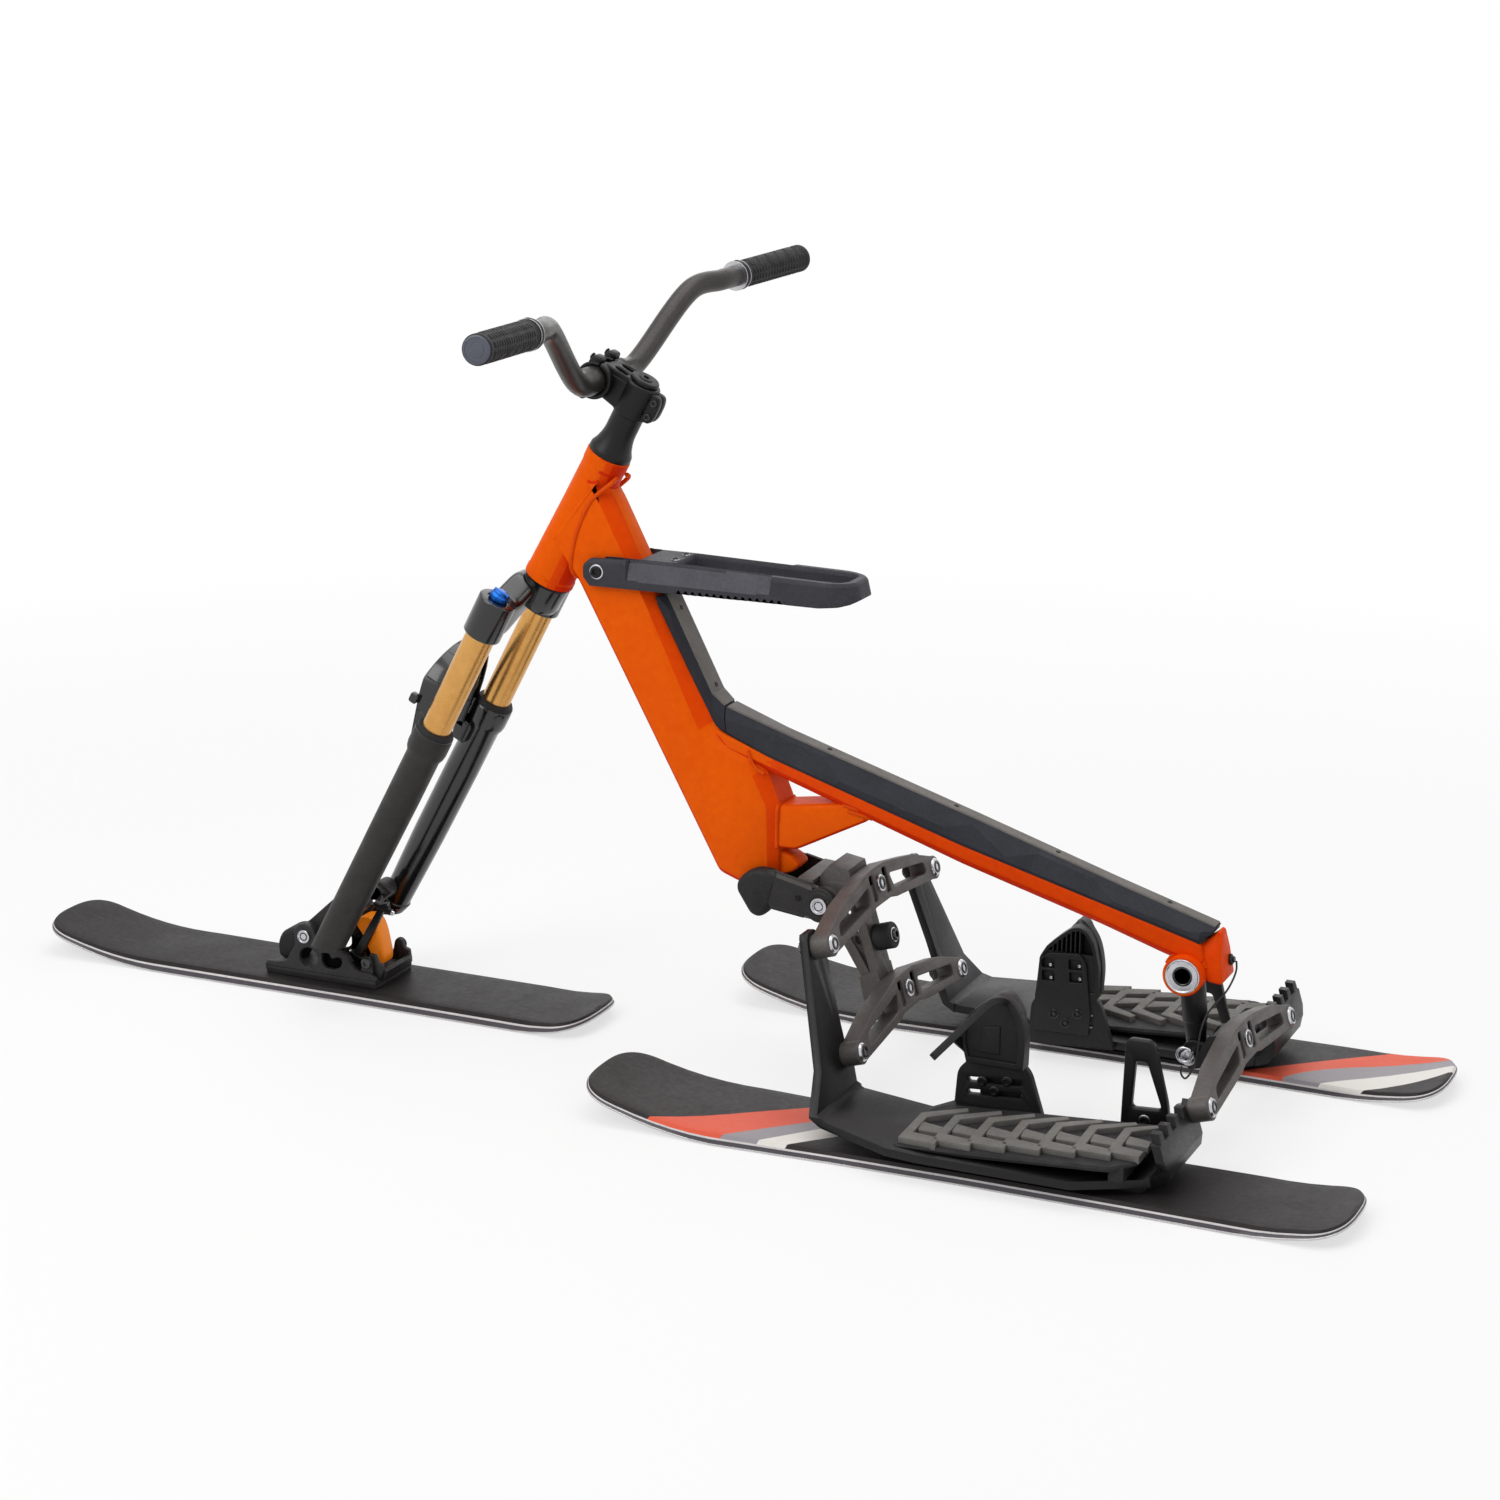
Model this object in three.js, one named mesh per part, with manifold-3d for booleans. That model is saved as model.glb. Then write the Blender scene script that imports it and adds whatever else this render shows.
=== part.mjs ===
// Ski bike: a snow bike with one steered front ski and two rear skis on leaning rockers.
// Millimetres, +Z up, +X toward the rear, +Y toward the rider's right, z = 0 on the snow.
import * as THREE from 'three';
import { ConvexGeometry } from 'three/addons/geometries/ConvexGeometry.js';
import { mergeVertices } from 'three/addons/utils/BufferGeometryUtils.js';
import Module from 'manifold-3d';

const wasm = await Module();
wasm.setup();

const radians = THREE.MathUtils.degToRad;

// Driving dimensions. Drawn places use x = 0 at the upper rocker and are moved to mid length.
const MID_LENGTH_SHIFT = 250;
const GAP = 0.35;
const ROUND_SIDES = 24;

// Steering axis. Inside the steering group x runs back across the axis and z runs up it.
const RAKE = radians(27.5);
const HEAD_BOTTOM = [-414.3, 0, 526];
const HEAD = { length: 167, bottomRadius: 28.5, topRadius: 24, boreRadius: 17 };
const STEERER_RADIUS = 14.3;
const STEERER_TOP = 258;
const BORE_CLEARANCE = 0.4;

// Fork, in the steering group.
const LEG = { x: -18, spacing: 71 };
const CROWN = { top: -3, clampTop: -23, clampBottom: -71, clampRadius: 22 };
const STANCHION = { radius: 17, top: -28, bottom: -300 };
const LOWER = { top: -207, collarBottom: -230, bottom: -525, boreBottom: -405, boreRadius: 17.4 };
const ARCH_SIDE = [[-42, -118], [-62, -120], [-67, -165], [-54, -240], [-40, -240], [-42, -165]];
const ARCH_OUTER = [[61, -242], [61, -168], [54, -147], [38, -133], [18, -126]];
const ARCH_INNER = [[43, -243], [43, -172], [36, -158], [20, -147]];

// Stem and handlebar.
const STEM = { bottom: 220, top: 260, clampX: -46, clampZ: 239, clampHalf: 26 };
const BAR = { clampRadius: 15.9, radius: 12.2, clampHalf: 40 };
const BAR_BENDS = [[-341, 66, 761.5], [-319, 178, 837]];
const GRIP = { start: [-300, 262, 843], end: [-283, 397.5, 848], radius: 16.5, bore: 12.6 };

// Front ski and its sprung pitch pivot.
const FRONT_SKI = { tip: -1095, tail: -350, halfWidth: 63, thickness: 15, tipRise: 34, tailRise: 15 };
const PITCH_PIVOT = [-725, 69];
const MOUNT = { front: -782, rear: -628, half: 43.5, sideInner: 37.5, floorTop: 25 };

// Main frame and the pieces bolted to it.
const FRAME_HALF = 27;
const BEAM_HALF = 25;
const SHELL = { x: 352, z: 177, radius: 22, half: 36 };
const HANDLE = { half: 37, rail: 9.6, boltX: -336, boltZ: 548 };
const YOKE_PIVOT = { x: -61.6, z: 199.5 };
const YOKE = { inner: 36.3, outer: 42.3, bossRadius: 20 };

// Leaning rocker linkage. Its group leans so that x runs along the rocker pins.
const LEAN = radians(17);
const LEAN_ORIGIN_Z = 197.6;
const ARM = { reach: 149.7, drop: 24.5, depth: 20.8, endRadius: 13 };
const ROCKERS = {
  upper: { back: 0, pivotZ: 24.5 },
  lower: { back: 0, pivotZ: -97.7 },
  rear: { back: 370.4, pivotZ: -209.5 },
};
const UPRIGHT_BACK = -21.1;
const HEEL_BACK = 349.3;
const PLATE = 9;
const BOLT = { radius: 5, head: 8.5, headDepth: 4, nut: 8, nutDepth: 8 };

// Rear skis and what stands on them, for the side where y is positive.
const REAR_SKI = { tip: -252, tail: 595, centreY: 202.4, thickness: 13, tipRise: 35, tailRise: 16 };
const DECK = { bottom: 22, top: 31 };
const SIDES = { left: -1, right: 1 };

// Strut that locks the rear linkage, and its pull pin.
const STRUT = { foot: [361, 86], radius: 13.5, eyeHalf: 14, pinRadius: 5 };

// Finishes.
const finish = (color, roughness, metalness) => ({ color, roughness, metalness });
const ORANGE = finish(0xe8600a, 0.3, 0.0);
const BLACK = finish(0x222224, 0.5, 0.3);
const COVER_GREY = finish(0x3c3e46, 0.6, 0.0);
const SKI_GREY = finish(0x3c3837, 0.4, 0.1);
const GOLD = finish(0xcd9b50, 0.15, 0.9);
const RUBBER = finish(0x181818, 0.8, 0.0);
const STEEL = finish(0xc8c8cc, 0.2, 1.0);
const BLUE = finish(0x1464be, 0.3, 0.6);
const SPRING_ORANGE = finish(0xf58c1e, 0.5, 0.0);

// Solids from three.js geometry, joined and cut by manifold-3d

function toSolid(geometry) {
  const bare = geometry.clone();
  bare.deleteAttribute('normal');
  bare.deleteAttribute('uv');
  const merged = mergeVertices(bare, 1e-4);
  return new wasm.Manifold(new wasm.Mesh({
    numProp: 3,
    vertProperties: new Float32Array(merged.attributes.position.array),
    triVerts: new Uint32Array(merged.index.array),
  }));
}

function toGeometry(solid) {
  const { vertProperties, triVerts } = solid.getMesh();
  const geometry = new THREE.BufferGeometry();
  geometry.setAttribute('position', new THREE.BufferAttribute(vertProperties, 3));
  geometry.setIndex(new THREE.BufferAttribute(triVerts, 1));
  geometry.computeVertexNormals();
  return geometry;
}

function piece(name, solid, look) {
  const mesh = new THREE.Mesh(toGeometry(solid), new THREE.MeshStandardMaterial(look));
  mesh.name = name;
  return mesh;
}

const join = (...solids) => solids.reduce((all, next) => all.add(next));
const cut = (solid, ...tools) => tools.reduce((rest, tool) => rest.subtract(tool), solid);

function box([x0, x1], [y0, y1], [z0, z1]) {
  const geometry = new THREE.BoxGeometry(x1 - x0, y1 - y0, z1 - z0);
  return toSolid(geometry.translate((x0 + x1) / 2, (y0 + y1) / 2, (z0 + z1) / 2));
}

function extrude(points, depth, basis) {
  const shape = new THREE.Shape(points.map(([a, b]) => new THREE.Vector2(a, b)));
  const geometry = new THREE.ExtrudeGeometry(shape, { depth, bevelEnabled: false });
  return toSolid(geometry.applyMatrix4(basis));
}

const X = new THREE.Vector3(1, 0, 0);
const Y = new THREE.Vector3(0, 1, 0);
const Z = new THREE.Vector3(0, 0, 1);

// Outline in x and z, running across y.
function acrossY(points, [y0, y1]) {
  const basis = new THREE.Matrix4().makeBasis(X, Z, Y.clone().negate()).setPosition(0, y1, 0);
  return extrude(points, y1 - y0, basis);
}

// Outline in x and y, running up z.
function acrossZ(points, [z0, z1]) {
  return extrude(points, z1 - z0, new THREE.Matrix4().setPosition(0, 0, z0));
}

// Outline in y and z, running along x.
function acrossX(points, [x0, x1]) {
  return extrude(points, x1 - x0, new THREE.Matrix4().makeBasis(Y, Z, X).setPosition(x0, 0, 0));
}

function rod(from, to, radius, endRadius = radius, sides = ROUND_SIDES) {
  const start = new THREE.Vector3(...from);
  const end = new THREE.Vector3(...to);
  const along = end.clone().sub(start);
  const geometry = new THREE.CylinderGeometry(endRadius, radius, along.length(), sides);
  geometry.applyQuaternion(new THREE.Quaternion().setFromUnitVectors(Y, along.normalize()));
  const middle = start.add(end).multiplyScalar(0.5);
  return toSolid(geometry.translate(middle.x, middle.y, middle.z));
}

// A rod across the bike at one x and z.
const crossRod = (x, z, [y0, y1], radius, sides) => rod([x, y0, z], [x, y1, z], radius, radius, sides);

// A turned ring or plug about the z axis, from [radius, z] points.
function turned(profile) {
  const points = profile.map(([radius, z]) => new THREE.Vector2(radius, z));
  return toSolid(new THREE.LatheGeometry(points, ROUND_SIDES).rotateX(Math.PI / 2));
}

function bent(points, radius, steps, sides = 16) {
  const path = new THREE.CatmullRomCurve3(points.map((p) => new THREE.Vector3(...p)), false, 'centripetal');
  const section = new THREE.Shape().absarc(0, 0, radius, 0, 2 * Math.PI);
  const options = { steps, curveSegments: sides / 2, extrudePath: path, bevelEnabled: false };
  return toSolid(new THREE.ExtrudeGeometry(section, options));
}

// Points of an arc in degrees, the centre first.
function arc([a, b], radius, fromDegrees, toDegrees, steps) {
  return Array.from({ length: steps + 1 }, (_, i) => {
    const angle = radians(fromDegrees + ((toDegrees - fromDegrees) * i) / steps);
    return [a + radius * Math.cos(angle), b + radius * Math.sin(angle)];
  });
}

const mirrored = (points, side) => points.map(([x, y]) => [x, side * y]);
const mirrored3 = (points, side) => points.map(([x, y, z]) => [x, side * y, z]);
const ordered = (a, b) => [Math.min(a, b), Math.max(a, b)];
const flipY = (points) => points.map(([y, z]) => [-y, z]);

// The drawn x and z of a point in the leaning linkage plane.
function leanPoint(x, z) {
  return [x * Math.cos(LEAN) - z * Math.sin(LEAN), LEAN_ORIGIN_Z + x * Math.sin(LEAN) + z * Math.cos(LEAN)];
}

// A point of the steering group, in drawn coordinates.
function fromSteering(x, y, z) {
  const [hx, , hz] = HEAD_BOTTOM;
  return [hx + x * Math.cos(RAKE) + z * Math.sin(RAKE), y, hz - x * Math.sin(RAKE) + z * Math.cos(RAKE)];
}

// Main frame

const DOWN_TUBE = [[-402, 578], [-366, 533], [-192, 216], [-165, 206], [-122, 219], [-119, 301], [-134, 337],
  [-150, 360], [-185.5, 375.6], [-197.7, 382.2], [-271, 519], [-271.3, 520.1], [-265.5, 523.3],
  [-323, 625], [-345, 660]];
const BEAM = [[-197.7, 382.2], [-185.5, 375.6], [-132.4, 356.5], [95, 285], [255, 241.5], [367, 211],
  [374, 190], [327, 192], [256, 215], [96, 261], [-19, 299], [-134, 337], [-190, 355]];
const BRACE = [[-130, 300], [-19.6, 316.5], [-12.6, 297.5], [-99.7, 252.5], [-130, 252]];
const TAIL_BLOCK = [[310, 222], [367, 211], [378, 219.5], [382, 224], [385, 222], [389, 190], [393, 168],
  [373, 169.5], [352, 190], [320, 196]];
const TAIL_WIDTHS = [[-8, 245], [8, 245], [9, 222], [20, 199], [23, 180], [25, 150], [-25, 150], [-23, 180],
  [-20, 199], [-9, 222]];
const YOKE_LUG = [[-130, 216], [-106, 224], [-97, 233], [-106, 242], [-130, 250]];

// Stations of the covers: the joint with the frame, then the narrow top strip.
const COVER_STATIONS = [
  { foot: [-271, 519], half: 26, strip: [-260, 525], stripHalf: 16.5 },
  { foot: [-197.7, 382.2], half: 26, strip: [-205, 418], stripHalf: 16.5 },
  { foot: [-185.5, 375.6], half: 25.5, strip: [-190, 405], stripHalf: 13 },
  { foot: [-132.4, 356.5], half: 25, strip: [-124, 382], stripHalf: 10 },
  { foot: [95, 285], half: 25, strip: [103, 312.5], stripHalf: 9 },
  { foot: [255, 241.5], half: 25, strip: [261, 262.5], stripHalf: 9 },
  { foot: [364, 212], half: 25, strip: [366, 230.7], stripHalf: 9 },
  { foot: [377, 219], half: 13, strip: [379, 226.7], stripHalf: 9 },
];

function strutSlot() {
  const fan = [[368.4, 178.6], [374.5, 119], [300, 140], [338.4, 186], [346, 193], [358, 193]];
  const half = STRUT.eyeHalf + BORE_CLEARANCE;
  return join(crossRod(SHELL.x, SHELL.z, [-half, half], 17), acrossY(fan, [-half, half]));
}

function mainFrame() {
  const top = fromSteering(0, 0, HEAD.length);
  const tubes = join(
    rod(HEAD_BOTTOM, top, HEAD.bottomRadius, HEAD.topRadius),
    acrossY(DOWN_TUBE, [-FRAME_HALF, FRAME_HALF]),
    acrossY(BEAM, [-BEAM_HALF, BEAM_HALF]),
    acrossY(BRACE, [-22, 22]),
    acrossY(YOKE_LUG, [-14, 14]),
    acrossY(TAIL_BLOCK, [-27, 27]).intersect(acrossX(TAIL_WIDTHS, [300, 420])),
    crossRod(SHELL.x, SHELL.z, [-SHELL.half, SHELL.half], SHELL.radius),
  );
  const bore = rod(fromSteering(0, 0, -5), fromSteering(0, 0, HEAD.length + 5), HEAD.boreRadius);
  return cut(tubes, bore, strutSlot(), crossRod(SHELL.x, SHELL.z, [-50, 50], 8.4),
    crossRod(HANDLE.boltX, HANDLE.boltZ, [-50, 50], 6.4), chamfer(-1), chamfer(1));
}

// The upper down tube narrows to its rear face.
function chamfer(side) {
  const corners = [[-262, 519.5], [-345, 669]].flatMap(([x, z]) =>
    [[x + 3, side * 10, z + 3], [x + 3, side * 33, z + 3], [x - 13, side * 29, z - 8]]);
  return toSolid(new ConvexGeometry(corners.map((p) => new THREE.Vector3(...p))));
}

function cover(stations) {
  const pair = ([[x, z], y]) => [new THREE.Vector3(x, -y, z + GAP), new THREE.Vector3(x, y, z + GAP)];
  const ring = ({ foot, half, strip, stripHalf }) => [[foot, half], [strip, stripHalf]].flatMap(pair);
  const runs = stations.slice(1).map((station, i) => ring(stations[i]).concat(ring(station)));
  return join(...runs.map((points) => toSolid(new ConvexGeometry(points))));
}

const downTubeCover = () => cover(COVER_STATIONS.slice(0, 3));

function beamCover() {
  const [mitre, ...rest] = COVER_STATIONS.slice(2);
  const shift = ([x, z]) => [x + GAP, z];
  return cover([{ ...mitre, foot: shift(mitre.foot), strip: shift(mitre.strip) }, ...rest]);
}

function carryHandle() {
  const side = [[-352, 538], [-345, 562], [-290, 565], [-245, 565], [-33, 561], [-33, 545], [-45, 533],
    [-100, 534], [-345, 531.5]];
  const half = HANDLE.half;
  const inner = half - HANDLE.rail;
  const plan = acrossZ([[-352, -half], [-52, -half], [-33, -half + 12], [-33, half - 12], [-52, half],
    [-352, half]], [520, 580]);
  const loop = acrossZ([[-242, -inner + 2], [-236, -inner + 2], [-62, -inner + 2], [-55, -inner + 9],
    [-55, inner - 9], [-62, inner - 2], [-242, inner - 2]], [520, 580]);
  const tubeRoom = acrossY(DOWN_TUBE.map(([x, z]) => [x + 0.5, z]), [-FRAME_HALF - GAP, FRAME_HALF + GAP]);
  const teeth = Array.from({ length: 12 }, (_, i) => crossRod(-235 + 12 * i, 529.5, [-60, 60], 5, 10));
  const rails = acrossY(side, [-half - 1, half + 1]).intersect(plan);
  const headRoom = box([-360, -300], [-inner, inner], [520, 580]);
  return cut(rails, loop, tubeRoom, headRoom, ...teeth,
    crossRod(HANDLE.boltX, HANDLE.boltZ, [-50, 50], 6.4));
}

function handleBolt() {
  const { half, boltX, boltZ } = HANDLE;
  const head = (y0, y1) => crossRod(boltX, boltZ, [y0, y1], 9);
  return join(crossRod(boltX, boltZ, [-half - 2, half + 2], 6), head(-half - 4, -half - GAP),
    head(half + GAP, half + 4));
}

// Yoke under the frame

const YOKE_SIDE = [[-162, 214], [-150, 226], [-118, 232], [-64, 219.4], [-50, 190], [-73, 181], [-123, 187],
  [-158, 199]];

function yoke() {
  const { inner, outer, bossRadius } = YOKE;
  const { x, z } = YOKE_PIVOT;
  const plate = (range) => join(acrossY(YOKE_SIDE, range), crossRod(x, z, range, bossRadius));
  const bar = acrossY([[-158, 200], [-125, 189], [-122, 199], [-160, 204]], [-inner - 1, inner + 1]);
  return cut(join(plate([-outer, -inner]), plate([inner, outer]), bar),
    crossRod(x, z, [-60, 60], 8.4));
}

function yokeBumper() {
  const outline = [[-164, 180], ...arc([-150, 178], 14, 180, 350, 6), [-130, 188.2], [-157, 197.2]];
  return acrossY(outline, [-34, 34]);
}

function yokeAxle() {
  const { x, z } = YOKE_PIVOT;
  const half = YOKE.outer;
  return join(crossRod(x, z, [-half - 2, half + 2], 8), crossRod(x, z, [-half - 5, -half - GAP], 11),
    crossRod(x, z, [half + GAP, half + 7], 11, 6));
}

function strutAxle() {
  const { x, z, half } = SHELL;
  return join(crossRod(x, z, [-half - 1, half + 1], 8), crossRod(x, z, [-half - 4, -half - GAP], 19.5),
    crossRod(x, z, [half + GAP, half + 4], 19.5));
}

// Lanyard from the tail block to the pull pin's ring

const LANYARD_BOLT = [389.9, 11, 187];
const LANYARD = [[397, 11, 186.5], [398, 9, 178], [397, 4, 170], [393, -8, 158], [385, -19, 147],
  [378, -27, 135], [374, -33, 118], [373, -37, 100], [371, -39, 84], [366, -39, 71], [360, -38, 64.5],
  [355.5, -37, 69], [355.5, -36, 77]];

function lanyardBolt() {
  const [x, y, z] = LANYARD_BOLT;
  return rod([x + GAP, y, z], [x + 5.5, y, z + 1], 6, 6, 16);
}

// Steering: crown, stanchions, stem and bar

const legRod = (side, z0, z1, radius, endRadius) =>
  rod([LEG.x, side * LEG.spacing, z0], [LEG.x, side * LEG.spacing, z1], radius, endRadius);

function crown() {
  const arms = acrossX([[-71, -25], [-52, -25], [-24, -5], [24, -5], [52, -25], [71, -25], [71, -66],
    [52, -66], [20, -34], [-20, -34], [-52, -66], [-71, -66]], [-34, 2]);
  const clamps = [-1, 1].map((side) => legRod(side, CROWN.clampBottom, CROWN.clampTop, CROWN.clampRadius));
  const steerer = rod([0, 0, -12], [0, 0, STEERER_TOP], STEERER_RADIUS);
  const body = join(arms, ...clamps, rod([0, 0, -34], [0, 0, CROWN.top], 25), steerer);
  const sockets = [-1, 1].map((side) => legRod(side, -90, STANCHION.top + GAP, STANCHION.radius + GAP));
  return cut(body, ...sockets, legRod(-1, -40, 0, 4.4));
}

function forkKnob() {
  return join(legRod(-1, CROWN.clampTop + GAP, -14, 11.5), legRod(-1, STANCHION.top + 1, -18, 4));
}

function headsetLower() {
  const inner = STEERER_RADIUS + BORE_CLEARANCE;
  const outer = HEAD.boreRadius - GAP;
  return turned([[inner, CROWN.top + GAP], [27, CROWN.top + GAP], [27, -GAP], [outer, -GAP], [outer, 14],
    [inner, 14], [inner, CROWN.top + GAP]]);
}

function headsetUpper() {
  const { length, topRadius, boreRadius } = HEAD;
  const inner = STEERER_RADIUS + BORE_CLEARANCE;
  const outer = boreRadius - GAP;
  const rim = length + GAP;
  return turned([[inner, length - 16], [outer, length - 16], [outer, rim], [topRadius, rim],
    [topRadius - 1, length + 6], [17, length + 17], [17, STEM.bottom - GAP], [inner, STEM.bottom - GAP],
    [inner, length - 16]]);
}

function stem() {
  const { bottom, top, clampX, clampZ, clampHalf } = STEM;
  const clamp = crossRod(clampX, clampZ, [-clampHalf, clampHalf], 21.5);
  const behind = box([clampX + 0.6, 60], [-60, 60], [bottom - 30, top + 30]);
  const body = join(clamp.intersect(behind), rod([0, 0, bottom], [0, 0, top], 21),
    box([clampX + 10, 0], [-17, 17], [bottom + 3, top - 4]));
  return cut(body, crossRod(clampX, clampZ, [-60, 60], BAR.clampRadius + GAP),
    rod([0, 0, 200], [0, 0, 280], STEERER_RADIUS + GAP),
    box([10, 30], [-1, 1], [bottom - 1, top + 1]));
}

function stemFaceplate() {
  const { clampX, clampZ, clampHalf } = STEM;
  const ahead = box([clampX - 60, clampX - 0.6], [-60, 60], [clampZ - 40, clampZ + 40]);
  const ears = [-1, 1].map((side) =>
    box([clampX - 14, clampX - 0.6], ordered(side * 12, side * 24), [clampZ + 14, clampZ + 27]));
  const body = join(crossRod(clampX, clampZ, [-clampHalf, clampHalf], 20.5).intersect(ahead), ...ears);
  return cut(body, crossRod(clampX, clampZ, [-60, 60], BAR.clampRadius + GAP),
    box([clampX - 30, clampX], [-7, 7], [clampZ - 9, clampZ + 9]));
}

function topCap() {
  return join(rod([0, 0, STEM.top + GAP], [0, 0, STEM.top + 5], 16.5, 15.5),
    rod([0, 0, STEM.top + 4], [0, 0, STEM.top + 7], 5, 5, 12));
}

function handlebar() {
  const [cx, , cz] = fromSteering(STEM.clampX, 0, STEM.clampZ);
  const half = (side) => bent([[cx, 0, cz], [cx, side * 30, cz], ...mirrored3(BAR_BENDS, side),
    gripPoint(side, -40), gripPoint(side, -12)], BAR.radius, 20);
  const shoulder = (side) => rod([cx, side * BAR.clampHalf, cz], [-342, side * 64, 761], BAR.clampRadius,
    BAR.radius + 0.2);
  const straight = (side) => rod(gripPoint(side, -14), gripPoint(side, 131), BAR.radius, BAR.radius, 16);
  return join(half(-1), half(1), shoulder(-1), shoulder(1), straight(-1), straight(1),
    rod([cx, -BAR.clampHalf, cz], [cx, BAR.clampHalf, cz], BAR.clampRadius));
}

// The grip, its end cap and its lock collar lie on one line.
function gripPoint(side, along) {
  const a = new THREE.Vector3(...GRIP.start);
  const b = new THREE.Vector3(...GRIP.end);
  const point = a.addScaledVector(b.sub(a).normalize(), along);
  return [point.x, side * point.y, point.z];
}

function grip(side) {
  const outer = rod(gripPoint(side, GAP), gripPoint(side, 136.7), GRIP.radius);
  return cut(outer, rod(gripPoint(side, -5), gripPoint(side, 132.5), GRIP.bore));
}

function gripCollar(side) {
  return cut(rod(gripPoint(side, -9), gripPoint(side, 0), 17.2),
    rod(gripPoint(side, -15), gripPoint(side, 5), GRIP.bore));
}

// Fork lowers and the pivot on the front ski

function forkLowers() {
  const { top, collarBottom, bottom, boreBottom, boreRadius } = LOWER;
  const leg = (side) => join(
    legRod(side, collarBottom, top, 22.5, 24),
    legRod(side, -385, collarBottom + 1, 19.2, 20),
    legRod(side, bottom, -384, 16.2, 19.2),
  );
  const bore = (side) => legRod(side, boreBottom, top + 10, boreRadius);
  const loop = (half) => [...half, ...flipY(half).reverse()];
  const arch = cut(acrossX(loop(ARCH_OUTER), [-70, -38]), acrossX(loop(ARCH_INNER), [-75, -35]));
  const feet = [-1, 1].map((side) => box([-54, LEG.x - 8], ordered(side * 43.5, side * 61), [-262, -236]));
  const bridge = arch.intersect(acrossY(ARCH_SIDE, [-65, 65]));
  return cut(join(leg(-1), leg(1), bridge, ...feet), bore(-1), bore(1));
}

function forkAdapter() {
  const [px, pz] = PITCH_PIVOT;
  const outline = [[px - 10, pz - 10], [px + 6, 54.5], [-690, 50], [-680, 56], [-652, 108], [-640, 116],
    [-655, 128], [-676, 130], [-692, 116], [px - 4, pz + 13]];
  const body = join(acrossY(outline, [-30, 30]), crossRod(px, pz, [-36.8, 36.8], 14),
    crossRod(-664, 112, [-52, 52], 12));
  return cut(body, crossRod(px, pz, [-60, 60], 7.4));
}

// Two side bars joined by a pin above and one below the elastomer.
function elastomerLink() {
  const bar = [[-641, 112], [-630, 107], [-664, 28], [-674, 32]];
  const bars = [-1, 1].map((side) => acrossY(bar, ordered(side * 19, side * 26)));
  return join(...bars, crossRod(-638, 106, [-25, 25], 4.5, 12), crossRod(-667.5, 33.5, [-25, 25], 4.5, 12));
}

function elastomer() {
  const outline = [[-650, 31.4], [-641, 31.4], [-634, 60], [-637, 76], [-645, 91], [-653, 97], [-658, 92],
    [-667, 60], [-662, 46]];
  return acrossY(outline, [-16.5, 16.5]);
}

function frontMount() {
  const { front, rear, half, sideInner, floorTop } = MOUNT;
  const [px, pz] = PITCH_PIVOT;
  const side = [[front, floorTop - 2], [front + 3, 31], [-763, 31], [px - 14, pz - 4],
    ...arc([px, pz], 15, 180, 20, 8), [-700, 46], [-684, 58], [-672, 56], [-660, 31], [rear, 30],
    [rear, floorTop - 2]];
  const plates = [-1, 1].map((s) => acrossY(side, ordered(s * sideInner, s * half)));
  const floor = box([front, rear], [-half, half], [15.4, floorTop]);
  const finger = [[-648, 50], [-640, 49], [-629, 26], [-629, 23], [-650, 23]];
  const fingers = [-1, 1].map((s) => acrossY(finger, ordered(s * 27, s * 34)));
  const lip = box([-651, rear], [-34, 34], [floorTop - 1, 31]);
  const linkRoom = box([-692, -652], [-28.5, 28.5], [0, 50]);
  const windows = [-719.8, -688].map((x, i) => crossRod(x, 43 - i, [-60, 60], 10 - i));
  return cut(join(floor, ...plates, ...fingers, lip), linkRoom, ...windows, crossRod(px, pz, [-60, 60], 7.4));
}

function frontPivotBolt() {
  const [x, z] = PITCH_PIVOT;
  const half = MOUNT.half;
  return join(crossRod(x, z, [-half - 2, half + 2], 7), crossRod(x, z, [-half - 4, -half - GAP], 9.5),
    crossRod(x, z, [half + GAP, half + 4], 9.5));
}

function frontBumper() {
  return acrossY([[-775, 33], [-777, 52], [-770, 66], [-757, 71], [-744, 70], [-742, 56], [-750, 25.4],
    [-768, 25.4]], [-33, 33]);
}

// A ski is its side profile cut by its plan. The tip is at the front, on the low side of x.
function skiSolid({ tip, tail, flatStart, flatEnd, tipRise, tailRise, thickness }, plan) {
  const steps = 9;
  const line = (lift, thin) => {
    const front = Array.from({ length: steps }, (_, i) => {
      const t = 1 - i / steps;
      return [flatStart + (tip - flatStart) * t, tipRise * t * t + lift - thin * t];
    });
    const back = Array.from({ length: steps }, (_, i) => {
      const t = (i + 1) / steps;
      return [flatEnd + (tail - flatEnd) * t, tailRise * t * t + lift - thin * t];
    });
    return [...front, [flatStart, lift], [flatEnd, lift], ...back];
  };
  const profile = [...line(0, 0), ...line(thickness, thickness * 0.4).reverse()];
  return acrossY(profile, [-400, 400]).intersect(acrossZ(plan, [-5, 120]));
}

// A plan outline with rounded ends, mirrored about the ski's centre line.
function skiPlan(stations, centreY, tipX, tailX, corner) {
  const first = stations[0][1];
  const last = stations[stations.length - 1][1];
  const tipEnd = arc([tipX + corner, first - corner], corner, 180, 90, 6);
  const tailEnd = arc([tailX - corner, last - corner], corner, 90, 0, 6);
  const upper = [...tipEnd, ...stations, ...tailEnd];
  const lower = upper.map(([x, y]) => [x, -y]).reverse();
  return [...upper, ...lower].map(([x, y]) => [x, y + centreY]);
}

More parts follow.
